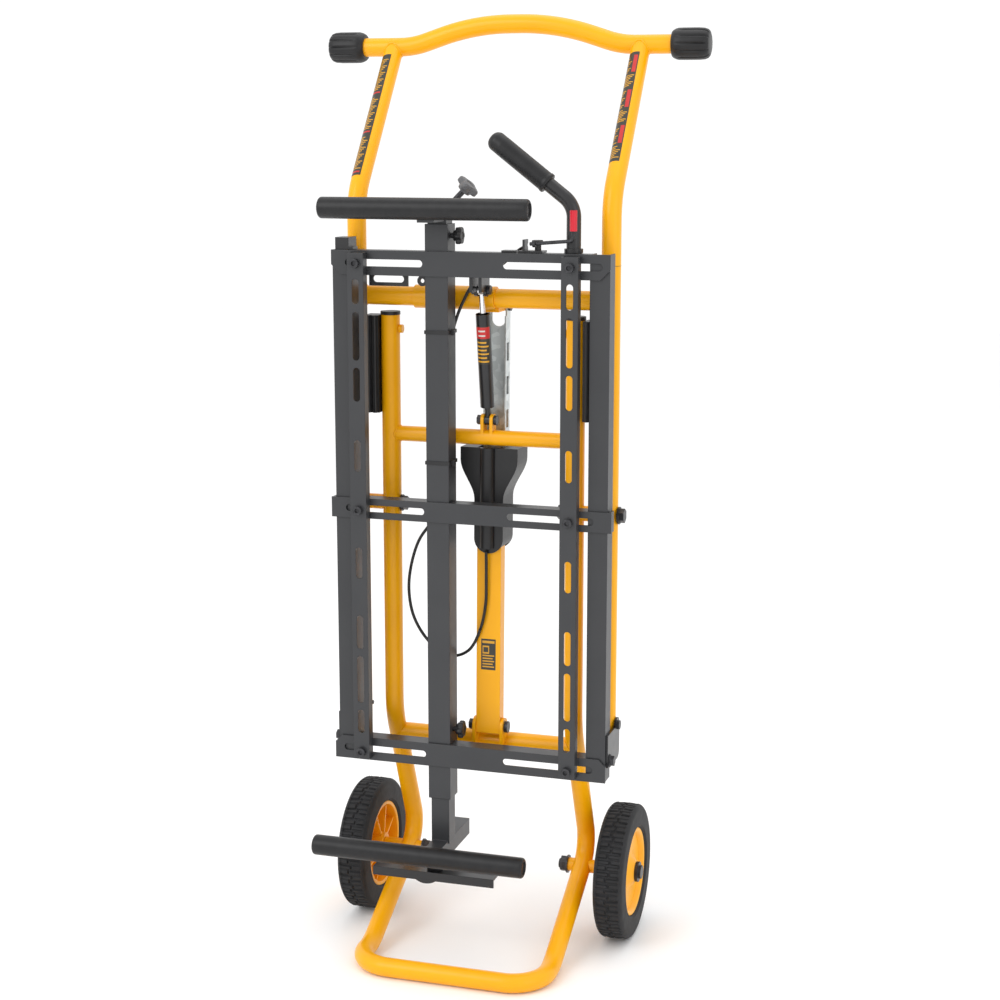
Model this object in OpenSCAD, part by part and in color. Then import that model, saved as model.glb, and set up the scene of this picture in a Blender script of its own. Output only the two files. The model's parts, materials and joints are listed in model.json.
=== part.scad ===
// Drywall lift, folded for moving: a yellow leg frame on two wheels and a skid loop, a yellow
// handle frame that pivots on it, and a dark panel frame with a mast, two padded rests and two
// slotted bars. Lengths are in millimetres. +X is to the right, +Y to the back and +Z up. The
// origin lies on the floor, in the middle of the lift's outline seen from above. Inside the
// modules, Y is measured from the wheel axle, and from_axle() moves each piece to the origin.

/* [Tubes] */
// Outer diameter of the main tubes
tube_d = 27; // [25:1:30]
// Wall of the main tubes
tube_wall = 1.8; // [1.2:0.1:2.5]
// Distance between the two leg tubes' axes
leg_span = 274; // [260:2:278]
// Distance between the two handle tubes' axes
arm_span = 373; // [372:1:390]

/* [Wheels] */
// Diameter of a tyre
wheel_d = 200; // [180:5:210]
// Width of a tyre
wheel_w = 44; // [36:1:46]
// Distance between the wheels' middles
track_w = 396; // [394:2:410]

/* [Leg frame] */
// Height of the leg tubes' tops
leg_top_z = 924; // [900:2:926]
// Height of the crossbar that holds the gas spring
mid_bar_z = 753; // [735:1:770]
// Height of the crossbar that holds the strut
low_bar_z = 298; // [290:1:305]
// Distance from the axle forward to the skid loop's front bar
skid_reach = 243; // [230:1:270]

/* [Handle frame] */
// Height of the main pivot
pivot_z = 651; // [640:1:662]
// Height of the joint between the handle tubes and the arms
arm_joint_z = 1000; // [990:5:1010]
// Height of the handle bar
handle_z = 1302; // [1285:1:1320]
// Rise of the handle bar in the middle
handle_rise = 31; // [18:1:40]
// Length of the handle bar without its caps
handle_len = 528; // [510:2:560]

/* [Panel frame] */
// Width over the two uprights
panel_w = 400; // [396:1:404]
// Height of the top beam's middle
top_beam_z = 1001.5; // [990:0.5:1010]
// Height of the middle beam's middle
mid_beam_z = 652.5; // [645:0.5:660]
// Height of the bottom beam's middle
low_beam_z = 294.5; // [285:0.5:300]
// Width of the mast, a square tube
mast_w = 33; // [31:1:35]
// Sideways place of the mast's middle
mast_x = -46.5; // [-56:0.5:-38]
// Sideways place of the left slotted bar
bar_left_x = -159.5; // [-165:0.5:-140]
// Sideways place of the right slotted bar
bar_right_x = 148.5; // [132:0.5:160]

/* [Pads] */
// Diameter of the padded rests
pad_d = 30; // [26:1:34]
// Length of the upper padded rest
upper_pad_len = 300; // [280:5:330]
// Length of the lower padded rest
lower_pad_len = 320; // [280:5:340]
// Height of the upper padded rest
upper_pad_z = 1078.5; // [1075:0.5:1090]
// Height of the lower padded rest
lower_pad_z = 154.5; // [150:0.5:158]

/* [Hidden] */
$fn = 64;
leg_x = leg_span / 2;
arm_x = arm_span / 2;
wheel_x = track_w / 2;
axle_z = wheel_d / 2;
yellow = "#f5b40f";
dark = "#55585c";
black = "#1d1e20";
silver = "#c3c8cc";
red = "#c81e28";

// Side outline of the legs, as Y and Z of the corners and the bends' radii
leg_y = -62;
leg_knee = [leg_y, 335];
leg_heel = [33, 118];
skid_z = tube_d / 2;
skid_toe = [-172, skid_z];
leg_knee_r = 130;
leg_heel_r = 45;
skid_toe_r = 70;
skid_corner_r = 51;
leg_joint_z = 212;
heel_slope = (leg_heel.x - leg_knee.x) / (leg_heel.y - leg_knee.y);
leg_joint_y = leg_knee.x + (leg_joint_z - leg_knee.y) * heel_slope;
low_bar_y = leg_knee.x + (low_bar_z - leg_knee.y) * heel_slope;

// The arms stand upright beside the legs
arm_y = leg_y;
arm_foot_z = 321;

// The handle tubes slant back above the arms
handle_y = 103;
handle_lean = 38;
bend_z = handle_z - (handle_y - arm_y) / tan(handle_lean);
handle_bend_r = 85;
arm_bar_z = 951;
handle_foot_x = arm_x;

// The panel frame's layers, from front to back
web = 3;
panel_front = -126;
post_front = panel_front + web;
post_depth = 28;
post_w = 28;
post_wall = 2.5;
post_x = panel_w / 2 - post_w / 2;
mast_front = post_front;
mast_y = mast_front + mast_w / 2;
mast_wall = 2.5;
mast_foot_z = 228;
mast_top_z = 1056;
bar_w = 24;
bar_depth = 15;
bar_front = panel_front - bar_depth - 0.4;
bar_foot_z = 283;
bar_top_z = 1016;
beam_top_h = 34.5;
beam_mid_h = 29;
beam_low_h = 34;
slot_h = 10;
slide_gap = 0.4;

// The strut's frame starts at its lower pin and leans back a little
strut_x = 11;
strut_pin_z = 326;
strut_lean = 1.5;
strut_w = 36;
strut_t = 19;
channel_w = 33;
channel_t = 21;
channel_wall = 2.2;
channel_off = strut_t / 2 + 2 + channel_t / 2;
channel_pin_s = 612;

// The gas spring's two eyes
spring_x = 9;
spring_low = [leg_y, 778];
spring_up = [-92, 965];
spring_lean = atan2(spring_low.x - spring_up.x, spring_up.y - spring_low.y);
spring_len = norm(spring_up - spring_low);

// The outline from front to back, which sets the origin
cap_d = 45;
y_front = -skid_reach - tube_d / 2;
y_back = handle_y + cap_d / 2;
y_shift = -(y_front + y_back) / 2;

// Route of the release cable, from the latch to the strut's cover
cable_d = 4.5;
cable_route = [[75, -98, 1027], [60, -90, 1019], [37, -82, 1001], [14, -75, 987], [-8, -80, 970],
    [-19, -84, 950], [-30, -84, 925], [-38, -84, 895], [-43, -84, 844], [-45, -83, 771], [-46, -82, 705],
    [-51, -79, 657], [-72, -76, 628], [-93, -74, 598], [-106, -72, 558], [-109, -72, 520], [-101, -72, 482],
    [-79, -72, 449], [-48, -72, 430], [-18, -72, 440], [0, -72, 473], [8, -72, 511], [9, -72, 548],
    [9, -72, 590]];

// Places a piece whose Y is measured from the axle
module from_axle() { translate([0, y_shift, 0]) children(); }

// The same piece on both sides
module both_sides() {
    children();
    mirror([1, 0, 0]) children();
}

function unit(v) = v / norm(v);

// Solid rod between two points
module rod(p, q, d) {
    way = q - p;
    translate(p) rotate([0, acos(way.z / norm(way)), atan2(way.y, way.x)])
        cylinder(h = norm(way), d = d);
}

// Disc or pin along X, from x0 to x1
module pin_x(x0, x1, y, z, d) { translate([x0, y, z]) rotate([0, 90, 0]) cylinder(h = x1 - x0, d = d); }

// Disc or pin along Y, from y0 to y1
module pin_y(x, y0, y1, z, d) { translate([x, y0, z]) rotate([-90, 0, 0]) cylinder(h = y1 - y0, d = d); }

// Box from its low corner to its high corner
module block(low, high) { translate(low) cube(high - low); }

// Round bend at a corner between directions u and v
module bend(corner, u, v, r, d, hole = 0) {
    turn = acos(u * v);
    n = unit(v - u * (u * v));
    o = corner - u * r * tan(turn / 2) + n * r;
    w = cross(-n, u);
    multmatrix([[-n.x, u.x, w.x, o.x], [-n.y, u.y, w.y, o.y], [-n.z, u.z, w.z, o.z], [0, 0, 0, 1]])
        rotate_extrude(angle = turn) translate([r, 0]) difference() {
            circle(d = d);
            if (hole > 0) circle(d = hole);
        }
}

// How much of a straight run a bend takes up at corner i
function bend_cut(p, r, i) = i == 0 || i == len(p) - 1 ? 0
    : r[i] * tan(acos(unit(p[i] - p[i - 1]) * unit(p[i + 1] - p[i])) / 2);

// Solid of a bent tube through the corners p with bend radii r
module bent_rod(p, r, d) {
    for (i = [0:len(p) - 2]) {
        way = unit(p[i + 1] - p[i]);
        rod(p[i] + way * bend_cut(p, r, i), p[i + 1] - way * bend_cut(p, r, i + 1), d);
    }
    for (i = [1:len(p) - 2]) bend(p[i], unit(p[i] - p[i - 1]), unit(p[i + 1] - p[i]), r[i], d);
}

// Bent tube: each straight run and each bend is a solid of its own, a hair apart
seam = 0.02;
module bent_tube(p, r, d, wall) {
    for (i = [0:len(p) - 2]) {
        way = unit(p[i + 1] - p[i]);
        from = p[i] + way * (bend_cut(p, r, i) + (i == 0 ? 0 : seam));
        to = p[i + 1] - way * (bend_cut(p, r, i + 1) + (i == len(p) - 2 ? 0 : seam));
        difference() {
            rod(from, to, d);
            if (d > 2 * wall) rod(from - way, to + way, d - 2 * wall);
        }
    }
    for (i = [1:len(p) - 2])
        bend(p[i], unit(p[i] - p[i - 1]), unit(p[i + 1] - p[i]), r[i], d, d - 2 * wall);
}

// Square tube along Z with its middle at x, y
module square_tube(x, y, z0, z1, w, wall) {
    difference() {
        block([x - w / 2, y - w / 2, z0], [x + w / 2, y + w / 2, z1]);
        block([x - w / 2 + wall, y - w / 2 + wall, z0 - 1], [x + w / 2 - wall, y + w / 2 - wall, z1 + 1]);
    }
}

// Hexagon along X, for nuts and bolt heads
module hex_x(x0, x1, y, z, across) {
    translate([x0, y, z]) rotate([0, 90, 0]) cylinder(h = x1 - x0, d = across / cos(30), $fn = 6);
}

// Slot with round ends, cut along Y
module slot_cut_x(x0, x1, z, h, y0, y1) {
    pin_y(x0 + h / 2, y0, y1, z, h);
    pin_y(x1 - h / 2, y0, y1, z, h);
    block([x0 + h / 2, y0, z - h / 2], [x1 - h / 2, y1, z + h / 2]);
}
module slot_cut_z(x, z0, z1, w, y0, y1) {
    pin_y(x, y0, y1, z0 + w / 2, w);
    pin_y(x, y0, y1, z1 - w / 2, w);
    block([x - w / 2, y0, z0 + w / 2], [x + w / 2, y1, z1 - w / 2]);
}

// ---- leg frame ----

function leg_point(side, yz) = [side * leg_x, yz.x, yz.y];

module leg(side) {
    p = [leg_point(side, [leg_y, leg_top_z]), leg_point(side, leg_knee),
        leg_point(side, [leg_joint_y, leg_joint_z])];
    difference() {
        bent_tube(p, [0, leg_knee_r, 0], tube_d, tube_wall);
        pin_x(side * leg_x - tube_d, side * leg_x + tube_d, leg_y, pivot_z, pivot_bolt_d + 0.2);
        pin_x(side * leg_x - tube_d, side * leg_x + tube_d, leg_y, rivet_z, rivet_d + 0.2);
    }
}
module leg_left() { color(yellow) from_axle() leg(-1); }
module leg_right() { color(yellow) from_axle() leg(1); }

module skid_loop() {
    turn = [[leg_joint_y, leg_joint_z], leg_heel, skid_toe, [-skid_reach, skid_z]];
    p = concat([for (yz = turn) leg_point(1, yz)], [for (i = [3:-1:0]) leg_point(-1, turn[i])]);
    radii = [0, leg_heel_r, skid_toe_r, skid_corner_r, skid_corner_r, skid_toe_r, leg_heel_r, 0];
    color(yellow) from_axle() difference() {
        bent_tube(p, radii, tube_d, tube_wall);
        both_sides() pin_x(leg_x - tube_d, leg_x + tube_d, 0, axle_z, axle_d + 0.2);
    }
}

mid_bar_d = 22;
low_bar_d = 30;
weld_gap = 0.1;
// Room for both legs where they cross y, z. slope is their lean, as Y per Z
module leg_space(y, z, slope) {
    both_sides() rod([leg_x, y - 60 * slope, z - 60], [leg_x, y + 60 * slope, z + 60],
        tube_d + 2 * weld_gap);
}

// Plate with a round end about a hole, standing on a crossbar
module ear(x0, x1, y, z, r, foot_z, hole_d) {
    difference() {
        union() {
            pin_x(x0, x1, y, z, 2 * r);
            block([x0, y - r, foot_z], [x1, y + r, z]);
        }
        pin_x(x0 - 1, x1 + 1, y, z, hole_d);
    }
}

ear_t = 4.5;
spring_pin_d = 8;
spring_eye_w = 8;
strut_pin_d = 10;
module crossbar_mid() {
    color(yellow) from_axle() difference() {
        union() {
            difference() {
                pin_x(-leg_x, leg_x, leg_y, mid_bar_z, mid_bar_d);
                pin_x(-leg_x - 1, leg_x + 1, leg_y, mid_bar_z, mid_bar_d - 2 * tube_wall);
            }
            for (x = [spring_x - spring_eye_w / 2 - 0.5 - ear_t, spring_x + spring_eye_w / 2 + 0.5])
                difference() {
                    ear(x, x + ear_t, leg_y, spring_low.y, 9, mid_bar_z, spring_pin_d + 0.1);
                    pin_x(-leg_x, leg_x, leg_y, mid_bar_z, mid_bar_d - 1);
                }
        }
        leg_space(leg_y, mid_bar_z, 0);
    }
}
module crossbar_low() {
    color(yellow) from_axle() difference() {
        union() {
            difference() {
                pin_x(-leg_x, leg_x, low_bar_y, low_bar_z, low_bar_d);
                pin_x(-leg_x - 1, leg_x + 1, low_bar_y, low_bar_z, low_bar_d - 2 * tube_wall);
            }
            for (x = [strut_x - strut_w / 2 - 0.5 - ear_t, strut_x + strut_w / 2 + 0.5])
                difference() {
                    ear(x, x + ear_t, leg_y, strut_pin_z, 13, low_bar_z, strut_pin_d + 0.1);
                    pin_x(-leg_x, leg_x, low_bar_y, low_bar_z, low_bar_d - 1);
                }
        }
        leg_space(low_bar_y, low_bar_z, heel_slope);
    }
}

cap_t = 5;
module leg_end_caps() {
    color(black) from_axle() both_sides() translate([leg_x, leg_y, leg_top_z]) {
        cylinder(h = cap_t, d = tube_d + 1.5);
        translate([0, 0, -15]) cylinder(h = 15.1, d = tube_d - 2 * tube_wall - 0.2);
    }
}

guide_low_z = 783.5;
guide_top_z = leg_top_z - 0.5;
guide_d = 28;
rivet_d = 6;
rivet_z = leg_top_z - 20;
guide_x0 = leg_x + tube_d / 2 + 0.05;
guide_x1 = arm_x - tube_d / 2 - 0.5;
module guide_blocks() {
    color(black) from_axle() both_sides() difference() {
        union() {
            block([guide_x0, leg_y - guide_d / 2, guide_low_z],
                [guide_x1, leg_y + guide_d / 2, guide_top_z]);
            for (x = [guide_x0 + 6, guide_x1 - 6])
                translate([x, leg_y - guide_d / 2, guide_low_z])
                    cylinder(h = guide_top_z - guide_low_z, d = 7);
        }
        pin_x(guide_x0 - 1, guide_x0 + 16, leg_y, rivet_z, rivet_d + 0.2);
    }
}
module guide_rivets() {
    color(yellow) from_axle() both_sides() {
        pin_x(leg_x - tube_d / 2 - 4, guide_x0 + 15, leg_y, rivet_z, rivet_d);
        pin_x(leg_x - tube_d / 2 - 5, leg_x - tube_d / 2 - 0.1, leg_y, rivet_z, 12);
    }
}

axle_d = 14;
hub_w = 42;
hub_out = wheel_x + hub_w / 2;
hub_in = wheel_x - hub_w / 2;
module axle_bolts() {
    color(black) from_axle() both_sides() {
        pin_x(leg_x - tube_d / 2 - 22, hub_out + 1, 0, axle_z, axle_d);
        pin_x(leg_x - tube_d / 2 - 10, leg_x - tube_d / 2 - 7.5, 0, axle_z, 27);
        hex_x(leg_x - tube_d / 2 - 19, leg_x - tube_d / 2 - 9.9, 0, axle_z, 21);
        pin_x(hub_out + 0.5, hub_out + 5, 0, axle_z, 30);
        pin_x(hub_out + 4.9, hub_out + 9, 0, axle_z, 20);
    }
}
module axle_spacers() {
    color(yellow) from_axle() both_sides() difference() {
        union() {
            pin_x(leg_x - tube_d / 2 - 7.4, leg_x, 0, axle_z, 20);
            pin_x(leg_x, hub_in - 0.5, 0, axle_z, 20);
        }
        pin_x(leg_x - tube_d, hub_in + 1, 0, axle_z, axle_d + 0.1);
        skid_space();
    }
}
// Room taken by the heel of the skid loop beside the axle
module skid_space() {
    turn = [[leg_joint_y, leg_joint_z], leg_heel, skid_toe];
    bent_rod([for (yz = turn) leg_point(1, yz)], [0, leg_heel_r, 0], tube_d + 2 * weld_gap);
}
pivot_bolt_d = 12;
module pivot_bolts() {
    color(black) from_axle() both_sides() {
        pin_x(leg_x - tube_d / 2 - 12, arm_x + tube_d / 2 + 8, leg_y, pivot_z, pivot_bolt_d);
        pin_x(arm_x + tube_d / 2 + 0.5, arm_x + tube_d / 2 + 3, leg_y, pivot_z, 25);
        hex_x(arm_x + tube_d / 2 + 2.9, arm_x + tube_d / 2 + 10, leg_y, pivot_z, 18);
        pin_x(leg_x - tube_d / 2 - 3, leg_x - tube_d / 2 - 0.5, leg_y, pivot_z, 24);
        hex_x(leg_x - tube_d / 2 - 10, leg_x - tube_d / 2 - 2.9, leg_y, pivot_z, 18);
    }
}
module pivot_spacers() {
    color(yellow) from_axle() both_sides() difference() {
        pin_x(leg_x, arm_x - tube_d / 2 - 0.4, leg_y, pivot_z, 22);
        pin_x(leg_x - 1, arm_x, leg_y, pivot_z, pivot_bolt_d + 0.1);
        leg_space(leg_y, pivot_z, 0);
    }
}

// The pins on the leg frame that hold the gas spring and the strut
module base_pins() {
    color(black) from_axle() {
        x0 = spring_x - spring_eye_w / 2 - 0.5 - ear_t;
        x1 = spring_x + spring_eye_w / 2 + 0.5 + ear_t;
        pin_x(x0 - 6, x1 + 3, leg_y, spring_low.y, spring_pin_d);
        hex_x(x0 - 6.5, x0 - 0.1, leg_y, spring_low.y, 12);
        pin_x(x1 + 0.1, x1 + 4.5, leg_y, spring_low.y, 14);
        s0 = strut_x - strut_w / 2 - 0.5 - ear_t;
        s1 = strut_x + strut_w / 2 + 0.5 + ear_t;
        pin_x(s0 - 7, s1 + 4, leg_y, strut_pin_z, strut_pin_d);
        hex_x(s0 - 7.5, s0 - 0.1, leg_y, strut_pin_z, 14);
        pin_x(s1 + 0.1, s1 + 5.5, leg_y, strut_pin_z, 17);
    }
}

// ---- wheels ----

rim_r = 65;
module rounded(w, h, r) {
    square([w, h - 2 * r], center = true);
    square([w - 2 * r, h], center = true);
    for (x = [-1, 1], y = [-1, 1]) translate([x * (w / 2 - r), y * (h / 2 - r)]) circle(r = r);
}
module on_axle(side) { translate([side * wheel_x, 0, axle_z]) rotate([0, 90, 0]) children(); }

tread_gap = 4;
module tyre(side) {
    wall = wheel_d / 2 - rim_r;
    on_axle(side) rotate_extrude() difference() {
        translate([rim_r + wall / 2, 0]) rounded(wall, wheel_w, 9);
        for (y = [-1, 1])
            translate([wheel_d / 2 - 3, y * wheel_w / 6 - tread_gap / 2]) square([4, tread_gap]);
    }
}
module tyre_left() { color(black) from_axle() tyre(-1); }
module tyre_right() { color(black) from_axle() tyre(1); }

rim_lip = 9;
rim_w = 38;
rib_count = 6;
module rim(side) {
    on_axle(side) difference() {
        union() {
            difference() {
                translate([0, 0, -rim_w / 2]) cylinder(h = rim_w, r = rim_r - 0.05);
                translate([0, 0, -rim_w / 2 - 1]) cylinder(h = rim_w + 2, r = rim_r - rim_lip);
            }
            translate([0, 0, -3]) cylinder(h = 6, r = rim_r - rim_lip + 0.1);
            translate([0, 0, -hub_w / 2]) cylinder(h = hub_w, r = 17);
            for (i = [0:rib_count - 1]) rotate(i * 360 / rib_count)
                translate([10, -2, -rim_w / 2 + 6]) cube([rim_r - rim_lip - 9, 4, rim_w - 12]);
        }
        translate([0, 0, -hub_w]) cylinder(h = 2 * hub_w, d = axle_d + 0.1);
    }
}
module rim_left() { color(yellow) from_axle() rim(-1); }
module rim_right() { color(yellow) from_axle() rim(1); }

// ---- handle frame ----

function arm_point(side, z) = [side * arm_x, arm_y, z];

module arm(side) {
    difference() {
        rod(arm_point(side, arm_foot_z), arm_point(side, arm_joint_z - 0.2), tube_d);
        rod(arm_point(side, arm_foot_z - 5), arm_point(side, arm_joint_z + 5), tube_d - 2 * tube_wall);
        pin_x(side * arm_x - tube_d, side * arm_x + tube_d, leg_y, pivot_z, pivot_bolt_d + 0.1);
        pin_x(side * arm_x - tube_d, side * arm_x + tube_d, arm_y, arm_screw_z, 6.2);
    }
}
module arm_left() { color(yellow) from_axle() arm(-1); }
module arm_right() { color(yellow) from_axle() arm(1); }

module handle_tubes() {
    joint = arm_point(1, arm_joint_z);
    p = [joint, arm_point(1, bend_z), [handle_foot_x, handle_y, handle_z]];
    color(yellow) from_axle() both_sides() {
        difference() {
            bent_tube(p, [0, handle_bend_r, 0], tube_d, tube_wall);
            pin_x(0, handle_len, handle_y, handle_z, tube_d + 2 * weld_gap);
        }
        difference() {
            rod(arm_point(1, arm_joint_z - 30), arm_point(1, arm_joint_z + 20),
                tube_d - 2 * tube_wall - 0.2);
            rod(arm_point(1, arm_joint_z - 35), arm_point(1, arm_joint_z + 25), tube_d - 4 * tube_wall);
        }
    }
}

arch_foot_x = 157;
arch_top_x = 62;
arch_foot_r = 130;
arch_top_r = 340;
module handle_bar() {
    right = [[handle_len / 2, 0], [arch_foot_x, 0], [arch_top_x, handle_rise]];
    p = concat([for (xz = right) [xz.x, handle_y, handle_z + xz.y]],
        [for (i = [2:-1:0]) [-right[i].x, handle_y, handle_z + right[i].y]]);
    radii = [0, arch_foot_r, arch_top_r, arch_top_r, arch_foot_r, 0];
    color(yellow) from_axle() bent_tube(p, radii, tube_d, tube_wall);
}

cap_in_x = 232;
cap_out_x = 286;
flute_count = 12;
module handle_caps() {
    color(black) from_axle() both_sides() difference() {
        union() {
            pin_x(cap_in_x + 5, cap_out_x - 6, handle_y, handle_z, cap_d);
            translate([cap_in_x, handle_y, handle_z]) rotate([0, 90, 0])
                cylinder(h = 5.1, d1 = cap_d - 6, d2 = cap_d);
            translate([cap_out_x - 6.1, handle_y, handle_z]) rotate([0, 90, 0])
                cylinder(h = 6.1, d1 = cap_d, d2 = cap_d - 8);
        }
        pin_x(cap_in_x - 1, handle_len / 2 + 0.2, handle_y, handle_z, tube_d + 0.1);
        for (i = [0:flute_count - 1]) {
            a = (i + 0.5) * 360 / flute_count;
            r = cap_d / 2 + 0.6;
            pin_x(cap_in_x + 10, cap_out_x + 1, handle_y + r * cos(a), handle_z + r * sin(a), 5);
        }
    }
}

module arm_crossbar() {
    color(yellow) from_axle() difference() {
        pin_x(-arm_x, arm_x, arm_y, arm_bar_z, tube_d);
        pin_x(-arm_x - 1, arm_x + 1, arm_y, arm_bar_z, tube_d - 2 * tube_wall);
        both_sides() rod(arm_point(1, arm_bar_z - 50), arm_point(1, arm_bar_z + 50), tube_d + 2 * weld_gap);
    }
}

channel_pin_y = leg_y + channel_pin_s * sin(strut_lean) + channel_off * cos(strut_lean);
channel_pin_z = strut_pin_z + channel_pin_s * cos(strut_lean) - channel_off * sin(strut_lean);
channel_pin_d = 8;
sleeve_d = 33;
sleeve_x0 = -98;
sleeve_x1 = 21.5;
lug_w = channel_w - 2 * channel_wall - 1;
module crossbar_sleeve() {
    color(yellow) from_axle() difference() {
        union() {
            pin_x(sleeve_x0, sleeve_x1, arm_y, arm_bar_z, sleeve_d);
            pin_x(strut_x - lug_w / 2, strut_x + lug_w / 2, channel_pin_y, channel_pin_z, 14);
            block([strut_x - lug_w / 2, arm_y, channel_pin_z - 6],
                [strut_x + lug_w / 2, channel_pin_y, channel_pin_z + 6]);
        }
        pin_x(sleeve_x0 - 1, strut_x + lug_w, arm_y, arm_bar_z, tube_d + 0.1);
        pin_x(0, sleeve_x1 + 9, channel_pin_y, channel_pin_z, channel_pin_d + 0.1);
        pin_x(sleeve_x0, strut_x + lug_w, channel_pin_y, channel_pin_z, channel_pin_d + 0.1);
    }
}

// The pin on the handle frame that holds the strut's channel
module channel_pin() {
    half = channel_w / 2;
    color(black) from_axle() {
        pin_x(strut_x - half - 4, strut_x + half + 4, channel_pin_y, channel_pin_z, channel_pin_d);
        pin_x(strut_x + half + 1, strut_x + half + 4.5, channel_pin_y, channel_pin_z, 14);
        pin_x(strut_x - half - 4.5, strut_x - half - 1, channel_pin_y, channel_pin_z, 14);
    }
}

plate_t = 3;
plate_x = max(arm_x + tube_d / 2, panel_w / 2) + 0.2;
foot_r = 11;
foot_bolt_y = -108;
foot_bolt_z = 306;
arm_screw_z = 345;
module foot_brackets() {
    x0 = plate_x;
    color(black) from_axle() both_sides() difference() {
        union() {
            pin_x(x0, x0 + plate_t, foot_bolt_y, foot_bolt_z, 2 * foot_r);
            pin_x(x0, x0 + plate_t, arm_y, arm_screw_z, 2 * foot_r);
            block([x0, foot_bolt_y - foot_r, foot_bolt_z], [x0 + plate_t, arm_y + foot_r, arm_screw_z]);
            block([x0, foot_bolt_y, foot_bolt_z - foot_r], [x0 + plate_t, arm_y, foot_bolt_z + 1]);
            pin_x(x0, x0 + plate_t, arm_y, foot_bolt_z, 2 * foot_r);
        }
        pin_x(x0 - 1, x0 + 5, foot_bolt_y, foot_bolt_z, 8.2);
        pin_x(x0 - 1, x0 + 5, arm_y, arm_screw_z, 6.2);
    }
}
module foot_bolts() {
    x0 = plate_x + plate_t;
    color(black) from_axle() both_sides() {
        pin_x(post_x + post_w / 2 - 8, x0 + 0.1, foot_bolt_y, foot_bolt_z, 8);
        pin_x(x0, x0 + 1.6, foot_bolt_y, foot_bolt_z, 18);
        hex_x(x0 + 1.5, x0 + 7, foot_bolt_y, foot_bolt_z, 13);
        pin_x(arm_x - tube_d / 2 - 2.5, x0 + 0.1, arm_y, arm_screw_z, 6);
        pin_x(x0, x0 + 3.5, arm_y, arm_screw_z, 13);
    }
}

// ---- panel frame ----

post_z0 = low_beam_z - beam_low_h / 2;
post_z1 = top_beam_z + beam_top_h / 2;
module post(side) {
    difference() {
        block([side * post_x - post_w / 2, post_front, post_z0],
            [side * post_x + post_w / 2, post_front + post_depth, post_z1]);
        block([side * post_x - post_w / 2 + post_wall, post_front + post_wall, post_z0 - 1],
            [side * post_x + post_w / 2 - post_wall, post_front + post_depth + 1, post_z1 + 1]);
        pin_x(side * (post_x + 8), side * (post_x + 8) + 30, foot_bolt_y, foot_bolt_z, 8.1);
        pin_x(side * (post_x + 8) - 30, side * (post_x + 8), foot_bolt_y, foot_bolt_z, 8.1);
    }
}
module post_left() { color(dark) from_axle() post(-1); }
module post_right() { color(dark) from_axle() post(1); }

// Beam with a slotted web in front and two flanges, cut out around the uprights and the mast
flange_t = 2.5;
module beam(x0, x1, z, h, depth, slots) {
    difference() {
        block([x0, panel_front, z - h / 2], [x1, post_front + depth, z + h / 2]);
        block([x0 - 1, post_front, z - h / 2 + flange_t],
            [x1 + 1, post_front + depth + 1, z + h / 2 - flange_t]);
        for (s = slots) slot_cut_x(s.x, s.y, z, slot_h, panel_front - 1, post_front + 1);
        both_sides() block([post_x - post_w / 2 - 0.2, post_front - 0.01, z - h],
            [post_x + post_w, post_front + depth + 1, z + h]);
        block([mast_x - mast_w / 2 - 0.2, post_front - 0.01, z - h],
            [mast_x + mast_w / 2 + 0.2, post_front + depth + 1, z + h]);
    }
}
// Cuts a corner of a beam's end at x, z off at 45 degrees
module corner_cut(x, z, size) {
    translate([x, panel_front + web / 2, z]) rotate([0, 45, 0]) cube([size, 4 * web, size], center = true);
}
beam_x = panel_w / 2 + 1;
module beam_top() {
    color(dark) from_axle() difference() {
        beam(-beam_x, beam_x, top_beam_z, beam_top_h, 20, [[-180, -66], [50, 190]]);
        both_sides() corner_cut(beam_x, top_beam_z - beam_top_h / 2, 20);
    }
}
module beam_mid() {
    color(dark) from_axle() {
        beam(-beam_x - 5, beam_x + 5, mid_beam_z, beam_mid_h, 20, [[-184, -66], [56, 180]]);
        both_sides() block([beam_x + 1, panel_front, mid_beam_z - beam_mid_h / 2],
            [beam_x + 4, post_front + 16, mid_beam_z + beam_mid_h / 2]);
    }
}
module beam_low() {
    color(dark) from_axle() difference() {
        beam(-beam_x - 5, beam_x, low_beam_z, beam_low_h, 22, [[-192, -66], [50, 182]]);
        corner_cut(-beam_x - 5, low_beam_z + beam_low_h / 2, 14);
        corner_cut(beam_x, low_beam_z + beam_low_h / 2, 14);
    }
}
module mast() {
    color(dark) from_axle() square_tube(mast_x, mast_y, mast_foot_z, mast_top_z, mast_w, mast_wall);
}

tie_w = 5;
tie_zs = [907, 723];
module cable_ties() {
    color(black) from_axle() for (z = tie_zs) {
        square_tube(mast_x, mast_y, z - tie_w / 2, z + tie_w / 2, mast_w + 3, 1.4);
        block([mast_x + mast_w / 2 + 1.5, mast_front + 8, z - 4],
            [mast_x + mast_w / 2 + 6, mast_front + 14, z + 4]);
    }
}

// Corner block on the top beam, strap hook behind it and a lug on the mast
strap_x0 = -154;
strap_x1 = -96;
lug_x = mast_x - mast_w / 2 - 9;
module panel_fittings() {
    z = post_z1;
    color(black) from_axle() {
        block([-post_x - 10, post_front + 1, z + 0.1], [-post_x + 10, post_front + 31, z + 17]);
        block([-post_x + 10, post_front + 1, z + 0.1], [-post_x + 16, post_front + 20, z + 4]);
        difference() {
            block([strap_x0, post_front + 22, z - 51], [strap_x1, post_front + 25, z - 31]);
            slot_cut_x(strap_x0 + 6, strap_x1 - 6, z - 41, 10, post_front + 20, post_front + 27);
        }
        difference() {
            union() {
                pin_y(lug_x, post_front + 14, post_front + 17, z - 42, 15);
                block([lug_x, post_front + 14, z - 47],
                    [mast_x - mast_w / 2 - 0.1, post_front + 17, z - 36]);
            }
            pin_y(lug_x, post_front + 10, post_front + 20, z - 42, 6);
        }
    }
}

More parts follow.
